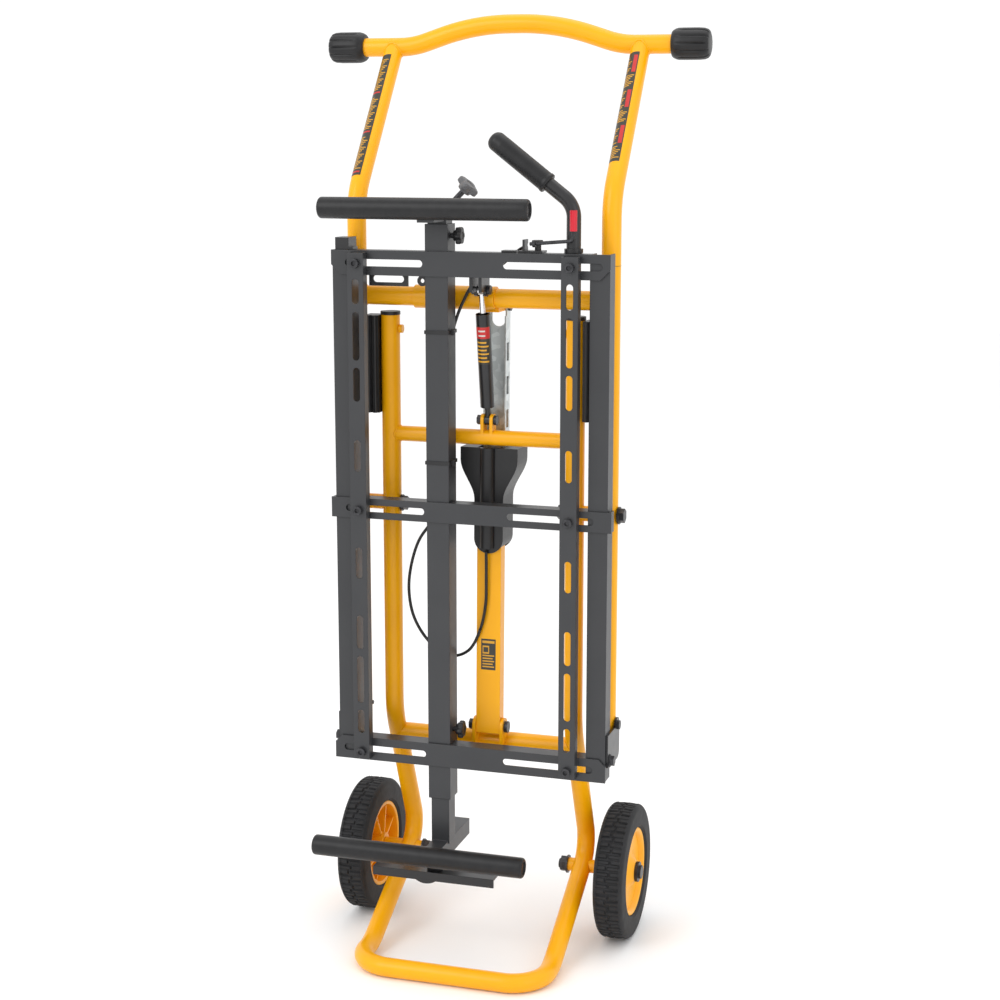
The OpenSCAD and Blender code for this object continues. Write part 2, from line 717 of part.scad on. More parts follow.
module spring_ears() {
    half = spring_eye_w / 2 + 0.5;
    color(black) from_axle() for (x = [spring_x - half - ear_t, spring_x + half]) difference() {
        union() {
            pin_x(x, x + ear_t, spring_up.x, spring_up.y, 18);
            block([x, post_front + 3, spring_up.y - 2],
                [x + ear_t, spring_up.x, top_beam_z - beam_top_h / 2 - 0.1]);
            block([x, spring_up.x - 1, spring_up.y],
                [x + ear_t, spring_up.x + 9, top_beam_z - beam_top_h / 2 - 0.1]);
        }
        pin_x(x - 1, x + ear_t + 1, spring_up.x, spring_up.y, spring_pin_d + 0.1);
    }
}

// The pin on the panel frame that holds the gas spring's rod
module spring_pin() {
    x0 = spring_x - spring_eye_w / 2 - 0.5 - ear_t;
    x1 = spring_x + spring_eye_w / 2 + 0.5 + ear_t;
    color(black) from_axle() {
        pin_x(x0 - 4, x1 + 4, spring_up.x, spring_up.y, spring_pin_d);
        pin_x(x0 - 4.5, x0 - 0.1, spring_up.x, spring_up.y, 13);
        pin_x(x1 + 0.1, x1 + 4.5, spring_up.x, spring_up.y, 13);
    }
}

grip_start = [107, -100, 1111];
grip_end = [26, -100, 1173.5];
handle_foot = [143, -100, post_z1 + 0.1];
handle_tube_d = 20;
module tilt_handle() {
    way = unit(grip_end - grip_start);
    knee = grip_start + way * (handle_foot.x - grip_start.x) / way.x;
    color(black) from_axle() {
        bent_tube([handle_foot + [0, 0, 6], knee, grip_start + way * 56], [0, 34, 0],
            handle_tube_d, tube_wall);
        translate(handle_foot) cylinder(h = 5.9, d = 26);
    }
}
grip_d = 29;
grip_rib = 2;
module tilt_grip() {
    way = grip_end - grip_start;
    len = norm(way);
    color(black) from_axle() translate(grip_start)
        rotate([0, acos(way.z / len), atan2(way.y, way.x)]) difference() {
            union() {
                cylinder(h = len, d = grip_d - grip_rib);
                for (s = [0:6:len - 12]) translate([0, 0, s]) cylinder(h = 4, d = grip_d);
                translate([0, 0, len - 9]) cylinder(h = 9, d1 = grip_d, d2 = grip_d - 8);
            }
            translate([0, 0, -1]) cylinder(h = 57.5, d = handle_tube_d + 0.1);
            translate([0, 0, -1]) cylinder(h = 3, d = handle_tube_d + 4);
        }
}

latch_x = 78.5;
module latch_bracket() {
    z = post_z1 + 0.1;
    color(black) from_axle() {
        block([latch_x - 32, post_front + 2, z], [latch_x - 13, post_front + 20, z + 3]);
        difference() {
            union() {
                block([latch_x - 8, post_front + 2, z], [latch_x + 26, post_front + 26, z + 3]);
                block([latch_x - 2, post_front + 2, z + 2.9], [latch_x + 1, post_front + 20, z + 18]);
            }
            pin_x(latch_x - 5, latch_x + 5, -103, z + 10, 5);
        }
        translate([latch_x + 15, -103, z + 2.9]) cylinder(h = 9, d = 9);
        translate([latch_x + 15, -103, z + 11.8]) cylinder(h = 5, d = 14, $fn = 6);
    }
}

// ---- hand knobs ----

module star(d, h, lobes) {
    difference() {
        union() {
            cylinder(h = h, d = 0.72 * d);
            for (i = [0:lobes - 1]) rotate(i * 360 / lobes) translate([0.34 * d, 0, 0])
                cylinder(h = h, d = 0.32 * d);
        }
        translate([0, 0, h - 1.5]) cylinder(h = 2, d = 0.4 * d);
    }
}
knob_upper_z = 1040;
knob_lower_z = 331;
module side_knob(z) {
    x0 = mast_x + mast_w / 2;
    pin_x(x0 + 0.5, x0 + 4.5, mast_y, z, 8);
    translate([x0 + 4.4, mast_y, z]) rotate([0, 90, 0]) star(26, 12, 6);
}
module knob_upper() { color(black) from_axle() side_knob(knob_upper_z); }
module knob_lower() { color(black) from_axle() side_knob(knob_lower_z); }
knob_pad_from = [mast_x + mast_w / 2 + 1, mast_y, 1084];
module knob_pad() {
    color("#6a6d70") from_axle() translate(knob_pad_from) rotate([0, 45, 0]) {
        cylinder(h = 26, d = 8);
        translate([0, 0, 25.9]) star(34, 12, 3);
    }
}

// ---- padded rests ----

inner_w = mast_w - 2 * mast_wall - 1;
pad_y = mast_front - 45;
arm_w = 24;
upper_pad_x = -50;
lower_pad_x = -65.5;
pad_core_d = 19;
module pad_core(x, z, len) { pin_x(x - len / 2 + 3, x + len / 2 - 3, pad_y, z, pad_core_d); }
upper_arm_z0 = mast_top_z + 4;
upper_arm_z1 = upper_pad_z + 12;
module upper_pad_post() {
    color(dark) from_axle() difference() {
        union() {
            block([mast_x - inner_w / 2, mast_y - inner_w / 2, 815],
                [mast_x + inner_w / 2, mast_y + inner_w / 2, upper_arm_z1]);
            block([mast_x - arm_w / 2, pad_y, upper_arm_z0], [mast_x + arm_w / 2, mast_y, upper_arm_z1]);
            pad_core(upper_pad_x, upper_pad_z, upper_pad_len);
        }
        block([mast_x - inner_w / 2 + 2.5, mast_y - inner_w / 2 + 2.5, 814],
            [mast_x + inner_w / 2 - 2.5, mast_y + inner_w / 2 - 2.5, upper_arm_z1 - 6]);
    }
}
// A padded rest; its foam is cut out around the arm that holds it
module pad(x, z, len, arm_z0, arm_z1) {
    difference() {
        pin_x(x - len / 2, x + len / 2, pad_y, z, pad_d);
        pin_x(x - len / 2 + 2.9, x + len / 2 - 2.9, pad_y, z, pad_core_d + 0.1);
        block([mast_x - arm_w / 2 - 0.1, pad_y, arm_z0 - 0.1],
            [mast_x + arm_w / 2 + 0.1, mast_y, arm_z1 + 0.1]);
    }
}
module upper_pad() {
    color(black) from_axle() pad(upper_pad_x, upper_pad_z, upper_pad_len, upper_arm_z0, upper_arm_z1);
}

box_z0 = 139;
box_z1 = box_z0 + arm_w;
box_back_y = -20;
module lower_pad_post() {
    color(dark) from_axle() difference() {
        union() {
            block([mast_x - inner_w / 2, mast_y - inner_w / 2, box_z1 - 4],
                [mast_x + inner_w / 2, mast_y + inner_w / 2, 470]);
            block([mast_x - arm_w / 2, pad_y, box_z0], [mast_x + arm_w / 2, box_back_y, box_z1]);
            pad_core(lower_pad_x, lower_pad_z, lower_pad_len);
        }
        block([mast_x - inner_w / 2 + 2.5, mast_y - inner_w / 2 + 2.5, box_z1 + 3],
            [mast_x + inner_w / 2 - 2.5, mast_y + inner_w / 2 - 2.5, 471]);
        block([mast_x - arm_w / 2 + 2.5, mast_y, box_z0 + 2.5],
            [mast_x + arm_w / 2 - 2.5, box_back_y - 3, box_z1 - 2.5]);
    }
}
ledge_half = 92;
ledge_z = 127;
module lower_ledge() {
    color(black) from_axle() {
        block([mast_x - ledge_half, -157, ledge_z - 3], [mast_x + ledge_half, -112, ledge_z]);
        block([mast_x - ledge_half, -157, ledge_z - 13], [mast_x + ledge_half, -154, ledge_z - 2.9]);
        block([mast_x - arm_w / 2, -146, ledge_z - 0.1], [mast_x + arm_w / 2, -118, box_z0 - 0.1]);
        difference() {
            pin_y(mast_x - 12, -154.1, -151, ledge_z + 8, 54);
            block([mast_x - 60, -160, ledge_z - 1], [mast_x + 60, -140, ledge_z + 60]);
        }
    }
}
module lower_pad() {
    color(black) from_axle() pad(lower_pad_x, lower_pad_z, lower_pad_len, box_z0, box_z1);
}

// ---- slotted bars ----

bar_slots = [[322.5, 357.5], [368, 438], [448.5, 498], [553, 598], [708, 753], [808, 856], [866, 934],
    [944.5, 979.5]];
bar_bolt_zs = [low_beam_z, mid_beam_z, top_beam_z];
bar_slot_w = 10;
module slotted_bar(x) {
    difference() {
        block([x - bar_w / 2, bar_front, bar_foot_z], [x + bar_w / 2, bar_front + bar_depth, bar_top_z]);
        block([x - bar_w / 2 + 2, bar_front + web, bar_foot_z - 1],
            [x + bar_w / 2 - 2, panel_front, bar_top_z + 1]);
        for (s = bar_slots) slot_cut_z(x, s.x, s.y, bar_slot_w, bar_front - 1, bar_front + web + 1);
        for (z = bar_bolt_zs) pin_y(x, bar_front - 1, bar_front + web + 1, z, 8.2);
    }
}
module bar_left() { color(dark) from_axle() slotted_bar(bar_left_x); }
module bar_right() { color(dark) from_axle() slotted_bar(bar_right_x); }

// Bolts with a socket head in front and a nut behind the beam's web
module bar_bolts(x) {
    for (z = bar_bolt_zs) {
        difference() {
            pin_y(x, bar_front - 6, bar_front - 0.1, z, 13);
            pin_y(x, bar_front - 7, bar_front - 3, z, 7);
        }
        pin_y(x, bar_front - 2, post_front + 8, z, 8);
        pin_y(x, post_front + slide_gap, post_front + 6, z, 13.5);
        pin_y(x, bar_front + web + 0.2, panel_front - slide_gap, z, 14);
    }
}
module bar_left_bolts() { color(black) from_axle() bar_bolts(bar_left_x); }
module bar_right_bolts() { color(black) from_axle() bar_bolts(bar_right_x); }

// ---- release lever ----

lever_y = -117;
lever_elbow = [147, lever_y, 1036];
lever_foot = [86, lever_y, 1031];
module release_rod() {
    way = unit(lever_elbow - lever_foot);
    color(black) from_axle() {
        bent_tube([lever_foot, lever_elbow, lever_elbow + [0, 0, 41]], [0, 6, 0], 5, 2.5);
        rod(lever_foot + way * 4, lever_foot + way * 8, 10);
    }
}
module release_sleeve() {
    color(red) from_axle() difference() {
        translate(lever_elbow + [0, 0, 13]) cylinder(h = 28, d = 10);
        translate(lever_elbow + [0, 0, 10]) cylinder(h = 31.1, d = 5.1);
    }
}

// ---- strut ----

module on_strut() { translate([strut_x, leg_y, strut_pin_z]) rotate([-strut_lean, 0, 0]) children(); }
strut_wall = 2;
strut_foot = -9;
strut_head = 398;
module strut_tube() {
    color(yellow) from_axle() on_strut() difference() {
        block([-strut_w / 2, -strut_t / 2, strut_foot], [strut_w / 2, strut_t / 2, strut_head]);
        block([-strut_w / 2 + strut_wall, -strut_t / 2 + strut_wall, strut_foot - 1],
            [strut_w / 2 - strut_wall, strut_t / 2 - strut_wall, strut_head + 1]);
        pin_x(-strut_w, strut_w, 0, 0, strut_pin_d + 0.1);
    }
}

cover_z0 = 259;
cover_z1 = 412;
cover_r = 21.5;
cover_flare = 21;
flare_from = 338;
flare_to = 394;
flare_steps = 10;
function smooth(t) = t * t * (3 - 2 * t);
module strut_cover() {
    side = [for (i = [0:flare_steps]) [cover_r + cover_flare * smooth(i / flare_steps),
        flare_from + (flare_to - flare_from) * i / flare_steps]];
    outline = concat([[cover_r, cover_z0 + cover_r]], side, [[cover_r + cover_flare, cover_z1]]);
    points = concat(outline, [for (i = [len(outline) - 1:-1:0]) [-outline[i].x, outline[i].y]]);
    back = channel_off + channel_t / 2 + 1.5;
    color(black) from_axle() on_strut() difference() {
        union() {
            translate([0, back + 3, 0]) rotate([90, 0, 0])
                linear_extrude(height = back + 3 + strut_t / 2 + 4) {
                    polygon(points);
                    translate([0, cover_z0 + cover_r]) circle(r = cover_r);
                }
            translate([-2, -strut_t / 2 - 3, cover_z0 + 8]) cylinder(h = cover_z1 - cover_z0 - 8, r = 11);
        }
        block([-strut_w / 2 - 0.05, -strut_t / 2 - 0.05, cover_z0 - 1],
            [strut_w / 2 + 0.05, strut_t / 2 + 1, cover_z1 + 1]);
        block([-channel_w / 2 - 1.5, strut_t / 2, cover_z0 - 1],
            [channel_w / 2 + 1.5, back, cover_z1 + 1]);
    }
}

channel_foot = 312;
channel_slot_pitch = 48;
module strut_channel() {
    y0 = channel_off - channel_t / 2;
    y1 = channel_off + channel_t / 2;
    half = channel_w / 2;
    top = channel_pin_s + 6;
    color(silver) from_axle() on_strut() difference() {
        block([-half, y0, channel_foot], [half, y1, top]);
        block([-half + channel_wall, y0 - 1, channel_foot - 1],
            [half - channel_wall, y1 - channel_wall, top + 1]);
        for (s = [channel_foot + 30:channel_slot_pitch:top - 60])
            block([half - channel_wall - 1, y0 + 4, s], [half + 1, y1 - 6, s + 26]);
        pin_y(0, y0, y1 + 1, channel_pin_s - 20, 20);
        block([-10, y0, channel_pin_s - 20], [10, y1 + 1, top + 1]);
        block([-half - 1, y0 - 1, channel_pin_s - 14], [half + 1, y0 + 4, top + 1]);
        pin_x(-channel_w, channel_w, channel_off, channel_pin_s, channel_pin_d + 0.1);
    }
}

// ---- gas spring ----

gas_d = 20;
gas_wall = 1.2;
gas_z0 = 20;
gas_z1 = 155;
rod_d = 8;
module on_spring() { translate([spring_x, leg_y, spring_low.y]) rotate([spring_lean, 0, 0]) children(); }
module gas_cylinder() {
    color(black) from_axle() on_spring() difference() {
        union() {
            pin_x(-spring_eye_w / 2, spring_eye_w / 2, 0, 0, 14);
            cylinder(h = gas_z0 + 1, d = spring_eye_w);
            translate([0, 0, gas_z0]) cylinder(h = gas_z1 - gas_z0, d = gas_d);
        }
        translate([0, 0, gas_z0 + 4]) cylinder(h = gas_z1, d = gas_d - 2 * gas_wall);
        pin_x(-spring_eye_w, spring_eye_w, 0, 0, spring_pin_d + 0.1);
    }
}
module gas_rod() {
    color(silver) from_axle() on_spring() difference() {
        union() {
            translate([0, 0, 58]) cylinder(h = spring_len - 58, d = rod_d);
            pin_x(-spring_eye_w / 2, spring_eye_w / 2, 0, spring_len, 14);
        }
        pin_x(-spring_eye_w, spring_eye_w, 0, spring_len, spring_pin_d + 0.1);
    }
}

// ---- release cable ----

cable_sides = 8;
cable_turns = 3;
// Point on the smooth curve through the route's points i and i + 1
function route_at(i, t) = let (n = len(cable_route) - 1, a = cable_route[max(i - 1, 0)], b = cable_route[i],
        c = cable_route[i + 1], d = cable_route[min(i + 2, n)])
    0.5 * (2 * b + (c - a) * t + (2 * a - 5 * b + 4 * c - d) * t * t + (3 * b - a - 3 * c + d) * t * t * t);
cable_line = concat(
    [for (i = [0:len(cable_route) - 2], k = [0:cable_turns - 1]) route_at(i, k / cable_turns)],
    [cable_route[len(cable_route) - 1]]);
function ring(i) = let (n = len(cable_line) - 1,
        way = unit(cable_line[min(i + 1, n)] - cable_line[max(i - 1, 0)]),
        u = unit(cross([0, 1, 0], way)), v = cross(way, u))
    [for (k = [0:cable_sides - 1]) cable_line[i] + cable_d / 2 * (u * cos(k * 360 / cable_sides)
        + v * sin(k * 360 / cable_sides))];
module cable() {
    n = len(cable_line);
    points = [for (i = [0:n - 1]) each ring(i)];
    sides = [for (i = [0:n - 2], k = [0:cable_sides - 1]) [i * cable_sides + k, i * cable_sides
        + (k + 1) % cable_sides, (i + 1) * cable_sides + (k + 1) % cable_sides, (i + 1) * cable_sides + k]];
    ends = [[for (k = [cable_sides - 1:-1:0]) k],
        [for (k = [0:cable_sides - 1]) (n - 1) * cable_sides + k]];
    color(black) from_axle() polyhedron(points, concat(sides, ends));
}

leg_left();
leg_right();
skid_loop();
crossbar_mid();
crossbar_low();
leg_end_caps();
guide_blocks();
guide_rivets();
axle_bolts();
axle_spacers();
channel_pin();
pivot_bolts();
pivot_spacers();
base_pins();
tyre_left();
tyre_right();
rim_left();
rim_right();
arm_left();
arm_right();
handle_tubes();
handle_bar();
handle_caps();
arm_crossbar();
crossbar_sleeve();
foot_brackets();
foot_bolts();
post_left();
post_right();
beam_top();
beam_mid();
beam_low();
mast();
cable_ties();
panel_fittings();
spring_ears();
latch_bracket();
tilt_handle();
tilt_grip();
spring_pin();
knob_upper();
knob_lower();
knob_pad();
upper_pad_post();
upper_pad();
lower_pad_post();
lower_ledge();
lower_pad();
bar_left();
bar_right();
bar_left_bolts();
bar_right_bolts();
release_rod();
release_sleeve();
strut_tube();
strut_cover();
strut_channel();
gas_cylinder();
gas_rod();
cable();
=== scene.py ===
"""Looks of a folded drywall lift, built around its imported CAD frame. Lengths are in metres."""
import json
import math

import bmesh
import bpy
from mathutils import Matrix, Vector


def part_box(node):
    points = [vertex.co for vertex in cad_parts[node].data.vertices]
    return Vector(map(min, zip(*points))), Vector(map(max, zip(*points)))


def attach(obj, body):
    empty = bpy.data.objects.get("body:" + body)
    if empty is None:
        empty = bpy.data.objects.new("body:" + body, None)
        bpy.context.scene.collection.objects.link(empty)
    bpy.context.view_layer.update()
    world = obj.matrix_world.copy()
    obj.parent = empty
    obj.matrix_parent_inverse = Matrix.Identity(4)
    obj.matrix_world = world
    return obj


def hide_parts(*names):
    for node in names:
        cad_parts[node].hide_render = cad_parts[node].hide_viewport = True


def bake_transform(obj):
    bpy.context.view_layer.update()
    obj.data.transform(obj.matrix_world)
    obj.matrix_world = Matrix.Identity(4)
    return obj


MM = 0.001
# The wheel axle's place along Y. Routes and places below are measured from it, as in the CAD source.
AXLE_Y = 0.0655

# Places of CAD features, in millimetres as the CAD source gives them.
ARM_X = 186.5
ARM_SEAM_Z = 1000
MID_BAR_Z = 753
BEND_Y = -62
BEND_Z = 1090.8
HANDLE_BAR_Y = 103
HANDLE_BAR_Z = 1302
GRIP_START = (107, -100, 1111)
GRIP_END = (26, -100, 1173.5)
PAD_KNOB_Z = 1084
STRUT_LABEL_X = 0
STRUT_PIN_Z = 326
STRUT_LEAN = math.radians(1.5)
SPRING_FOOT = (9, -62, 778)
SPRING_HEAD = (9, -92, 965)

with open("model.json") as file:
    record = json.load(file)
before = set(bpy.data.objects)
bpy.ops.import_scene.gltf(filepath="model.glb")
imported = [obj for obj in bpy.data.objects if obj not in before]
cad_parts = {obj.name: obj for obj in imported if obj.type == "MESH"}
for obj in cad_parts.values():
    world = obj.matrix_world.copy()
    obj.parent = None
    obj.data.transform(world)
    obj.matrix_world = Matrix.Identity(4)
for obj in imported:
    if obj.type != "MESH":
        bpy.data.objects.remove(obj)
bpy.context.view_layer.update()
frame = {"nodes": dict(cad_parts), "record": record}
nodes = frame["nodes"]


def place(x, y, z):
    """A point given in millimetres, with Y from the axle, as in the CAD source."""
    return Vector((x * MM, y * MM + AXLE_Y, z * MM))


def centre(node):
    low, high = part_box(node)
    return (low + high) / 2


def size(node):
    low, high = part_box(node)
    return high - low


# ---- materials ----


class Shader:
    """A Principled material and short ways to add texture to it."""

    def __init__(
        self, name, colour, roughness, metallic=0.0, coat=0.0, coat_roughness=0.1, specular=0.5
    ):
        self.material = bpy.data.materials.new(name)
        self.material.use_nodes = True
        self.tree = self.material.node_tree
        self.bsdf = self.tree.nodes["Principled BSDF"]
        self.colour = (*colour, 1.0)
        self.bsdf.inputs["Base Color"].default_value = self.colour
        self.bsdf.inputs["Roughness"].default_value = roughness
        self.bsdf.inputs["Metallic"].default_value = metallic
        self.bsdf.inputs["Coat Weight"].default_value = coat
        self.bsdf.inputs["Coat Roughness"].default_value = coat_roughness
        self.bsdf.inputs["Specular IOR Level"].default_value = specular
        self.coords = self.node("ShaderNodeTexCoord").outputs["Object"]
        self.normal = None

    def node(self, kind, **settings):
        made = self.tree.nodes.new(kind)
        for key, value in settings.items():
            setattr(made, key, value)
        return made

    def link(self, source, target):
        self.tree.links.new(source, target)

    def noise(self, scale, detail=3.0, stretch=(1, 1, 1)):
        """Noise in object space, with scale in features per metre."""
        mapping = self.node("ShaderNodeMapping")
        mapping.inputs["Scale"].default_value = stretch
        self.link(self.coords, mapping.inputs["Vector"])
        noise = self.node("ShaderNodeTexNoise")
        noise.inputs["Scale"].default_value = scale
        noise.inputs["Detail"].default_value = detail
        self.link(mapping.outputs["Vector"], noise.inputs["Vector"])
        return noise.outputs["Fac"]

    def cells(self, scale):
        cells = self.node("ShaderNodeTexVoronoi")
        cells.inputs["Scale"].default_value = scale
        self.link(self.coords, cells.inputs["Vector"])
        return cells

    def tint(self, mask, other, low=0.35, high=0.65):
        """Mixes the base colour towards another colour where the mask is high."""
        ramp = self.node("ShaderNodeValToRGB")
        ramp.color_ramp.elements[0].position = low
        ramp.color_ramp.elements[0].color = self.colour
        ramp.color_ramp.elements[1].position = high
        ramp.color_ramp.elements[1].color = (*other, 1.0)
        self.link(mask, ramp.inputs["Fac"])
        self.link(ramp.outputs["Color"], self.bsdf.inputs["Base Color"])

    def vary_roughness(self, mask, low, high):
        span = self.node("ShaderNodeMapRange")
        span.inputs["To Min"].default_value = low
        span.inputs["To Max"].default_value = high
        self.link(mask, span.inputs["Value"])
        self.link(span.outputs["Result"], self.bsdf.inputs["Roughness"])

    def round_edges(self, radius):
        bevel = self.node("ShaderNodeBevel", samples=6)
        bevel.inputs["Radius"].default_value = radius
        self.normal = bevel.outputs["Normal"]
        self.link(self.normal, self.bsdf.inputs["Normal"])

    def bump(self, height, strength, distance):
        bump = self.node("ShaderNodeBump")
        bump.inputs["Strength"].default_value = strength
        bump.inputs["Distance"].default_value = distance
        self.link(height, bump.inputs["Height"])
        if self.normal is not None:
            self.link(self.normal, bump.inputs["Normal"])
        self.normal = bump.outputs["Normal"]
        self.link(self.normal, self.bsdf.inputs["Normal"])


def powder_coat(name, colour, shade, roughness, coat, edge=0.8, specular=0.5):
    """Powder-coated steel: fine orange peel, and a slight change of shade over the surface."""
    paint = Shader(name, colour, roughness, coat=coat, coat_roughness=0.12, specular=specular)
    paint.tint(paint.noise(14, 4), shade)
    paint.vary_roughness(paint.noise(60, 3), roughness - 0.05, roughness + 0.06)
    paint.round_edges(edge * MM)
    paint.bump(paint.noise(900, 2), 0.12, 0.15 * MM)
    return paint.material


def moulded(name, colour, shade, roughness, grain=1500, edge=0.6):
    """Moulded plastic: a fine spark-eroded grain."""
    plastic = Shader(name, colour, roughness, specular=0.45)
    plastic.tint(plastic.noise(30, 3), shade)
    plastic.vary_roughness(plastic.noise(220, 2), roughness - 0.05, roughness + 0.07)
    plastic.round_edges(edge * MM)
    plastic.bump(plastic.noise(grain, 2), 0.2, 0.12 * MM)
    return plastic.material


def foam_rubber(name, colour, shade):
    """Closed-cell foam: small pits and a soft sheen."""
    foam = Shader(name, colour, 0.42, specular=0.35)
    foam.bsdf.inputs["Sheen Weight"].default_value = 0.03
    foam.bsdf.inputs["Sheen Roughness"].default_value = 0.5
    foam.tint(foam.noise(90, 4), shade)
    foam.bump(foam.cells(700).outputs["Distance"], 0.12, 0.15 * MM)
    foam.bump(foam.noise(260, 3), 0.08, 0.2 * MM)
    return foam.material


def tyre_rubber(name, colour, shade):
    rubber = Shader(name, colour, 0.68, specular=0.35)
    rubber.tint(rubber.noise(45, 5), shade)
    rubber.vary_roughness(rubber.noise(120, 3), 0.58, 0.78)
    rubber.bump(rubber.noise(800, 3), 0.25, 0.2 * MM)
    return rubber.material


def galvanised_steel(name):
    """Zinc spangle: flat cells of slightly different brightness."""
    zinc = Shader(name, (0.52, 0.56, 0.56), 0.36, metallic=0.85)
    zinc.tint(zinc.cells(110).outputs["Color"], (0.74, 0.78, 0.78), 0.1, 0.9)
    zinc.vary_roughness(zinc.noise(70, 4), 0.28, 0.46)
    zinc.round_edges(0.8 * MM)
    zinc.bump(zinc.noise(300, 3), 0.12, 0.1 * MM)
    return zinc.material


def polished_rod(name):
    chrome = Shader(name, (0.80, 0.80, 0.81), 0.12, metallic=1.0)
    chrome.vary_roughness(chrome.noise(500, 2, (1, 1, 0.1)), 0.08, 0.18)
    chrome.round_edges(0.4 * MM)
    return chrome.material


def black_oxide(name):
    steel = Shader(name, (0.022, 0.022, 0.025), 0.38, metallic=0.35)
    steel.tint(steel.noise(160, 3), (0.05, 0.05, 0.055))
    steel.round_edges(0.5 * MM)
    steel.bump(steel.noise(1400, 2), 0.15, 0.08 * MM)
    return steel.material


def printed_film(name, colour, shade):
    """The satin face of a sticker."""
    film = Shader(name, colour, 0.34, specular=0.5)
    film.tint(film.noise(200, 2), shade)
    film.bump(film.noise(500, 2), 0.08, 0.05 * MM)
    return film.material


YELLOW = (0.93, 0.425, 0.001)
YELLOW_SHADE = (0.90, 0.40, 0.001)
RIM_YELLOW = (0.93, 0.43, 0.002)
RIM_YELLOW_SHADE = (0.90, 0.40, 0.002)
CHARCOAL = (0.026, 0.027, 0.030)
CHARCOAL_SHADE = (0.030, 0.031, 0.034)
BLACK = (0.009, 0.009, 0.010)
FINISHES = {
    "yellow_paint": powder_coat("yellow_paint", YELLOW, YELLOW_SHADE, 0.32, 0.08, specular=0.3),
    "dark_paint": powder_coat("dark_paint", CHARCOAL, CHARCOAL_SHADE, 0.40, 0.05, edge=1.4),
    "black_paint": powder_coat("black_paint", BLACK, (0.013, 0.013, 0.015), 0.32, 0.1),
    "black_steel": black_oxide("black_steel"),
    "black_plastic": moulded("black_plastic", BLACK, (0.013, 0.013, 0.014), 0.40),
    "rubber": foam_rubber("rubber", (0.008, 0.008, 0.009), (0.012, 0.012, 0.013)),
    "tyre": tyre_rubber("tyre", (0.014, 0.014, 0.015), (0.019, 0.019, 0.021)),
    "galvanised": galvanised_steel("galvanised"),
    "rod_chrome": polished_rod("rod_chrome"),
    "red_plastic": moulded("red_plastic", (0.62, 0.012, 0.03), (0.55, 0.01, 0.026), 0.32),
    "yellow_plastic": moulded("yellow_plastic", RIM_YELLOW, RIM_YELLOW_SHADE, 0.38),
    "grey_plastic": moulded("grey_plastic", (0.10, 0.10, 0.105), (0.12, 0.12, 0.125), 0.42),
}
LABEL_DARK = printed_film("label_dark", (0.03, 0.028, 0.02), (0.036, 0.034, 0.024))
LABEL_OCHRE = printed_film("label_ochre", (0.72, 0.36, 0.02), (0.68, 0.33, 0.018))
LABEL_RED = printed_film("label_red", (0.55, 0.02, 0.02), (0.50, 0.018, 0.018))
LABEL_PALE = printed_film("label_pale", (0.62, 0.60, 0.55), (0.58, 0.56, 0.51))

for row in frame["record"]["subparts"]:
    node = nodes[row["node"]]
    node.data.materials.clear()
    node.data.materials.append(FINISHES[row["material_slot"]])


# ---- mesh helpers ----


def mesh_piece(name, points, faces, material, smooth=True):
    mesh = bpy.data.meshes.new(name)
    mesh.from_pydata([tuple(p) for p in points], [], faces)
    mesh.update()
    mesh.validate()
    if smooth:
        mesh.polygons.foreach_set("use_smooth", [True] * len(mesh.polygons))
    mesh.materials.append(material)
    piece = bpy.data.objects.new(name, mesh)
    bpy.context.scene.collection.objects.link(piece)
    return piece


def apply_modifier(piece, kind, **settings):
    """Adds a modifier and keeps its result in the mesh."""
    modifier = piece.modifiers.new(kind.lower(), kind)
    for key, value in settings.items():
        setattr(modifier, key, value)
    bpy.context.view_layer.update()
    evaluated = piece.evaluated_get(bpy.context.evaluated_depsgraph_get())
    result = bpy.data.meshes.new_from_object(evaluated)
    piece.modifiers.clear()
    piece.data = result
    return piece


def grid_faces(rings, around, closed=True):
    """Quads between rings of points, each with the same number of points."""
    last = around if closed else around - 1
    faces = []
    for i in range(rings - 1):
        low = i * around
        high = low + around
        for k in range(last):
            after = (k + 1) % around
            faces.append((low + k, low + after, high + after, high + k))
    return faces


def closing_faces(rings, around):
    """Quads from the last ring of points back to the first."""
    last = (rings - 1) * around
    return [(last + k, last + (k + 1) % around, (k + 1) % around, k) for k in range(around)]


def end_faces(rings, around):
    """Flat faces over the first and the last ring of points."""
    last = (rings - 1) * around
    return [tuple(range(around - 1, -1, -1)), tuple(last + k for k in range(around))]


def axes_along(direction):
    """Two directions at right angles to the given one and to each other."""
    way = Vector(direction).normalized()
    side = way.cross(Vector((0, 0, 1)))
    if side.length < 0.1:
        side = way.cross(Vector((0, -1, 0)))
    side.normalize()
    return way, side, way.cross(side)


def turned(name, origin, direction, profile, material, radius=None, around=64, ring=False):
    """A turned solid: profile is a list of (distance along, radius).
    radius(along, r, angle) may shape it further. Its ends are flat, or with ring=True its last
    point joins its first, which leaves a bore."""
    way, u, v = axes_along(direction)
    points = []
    for along, r in profile:
        for k in range(around):
            angle = 2 * math.pi * k / around
            reach = radius(along, r, angle) if radius else r
            out = u * math.cos(angle) + v * math.sin(angle)
            points.append(origin + way * along + out * reach)
    rings = len(profile)
    faces = grid_faces(rings, around)
    faces += closing_faces(rings, around) if ring else end_faces(rings, around)
    piece = mesh_piece(name, points, faces, material)
    face_outward(piece)
    return piece


def face_outward(piece):
    work = bmesh.new()
    work.from_mesh(piece.data)
    bmesh.ops.recalc_face_normals(work, faces=work.faces)
    work.to_mesh(piece.data)
    work.free()


def smooth_by_angle(piece, degrees):
    """Smooth shading that keeps the sharp edges sharp."""
    piece.data.polygons.foreach_set("use_smooth", [True] * len(piece.data.polygons))
    piece.data.set_sharp_from_angle(angle=math.radians(degrees))
    return piece


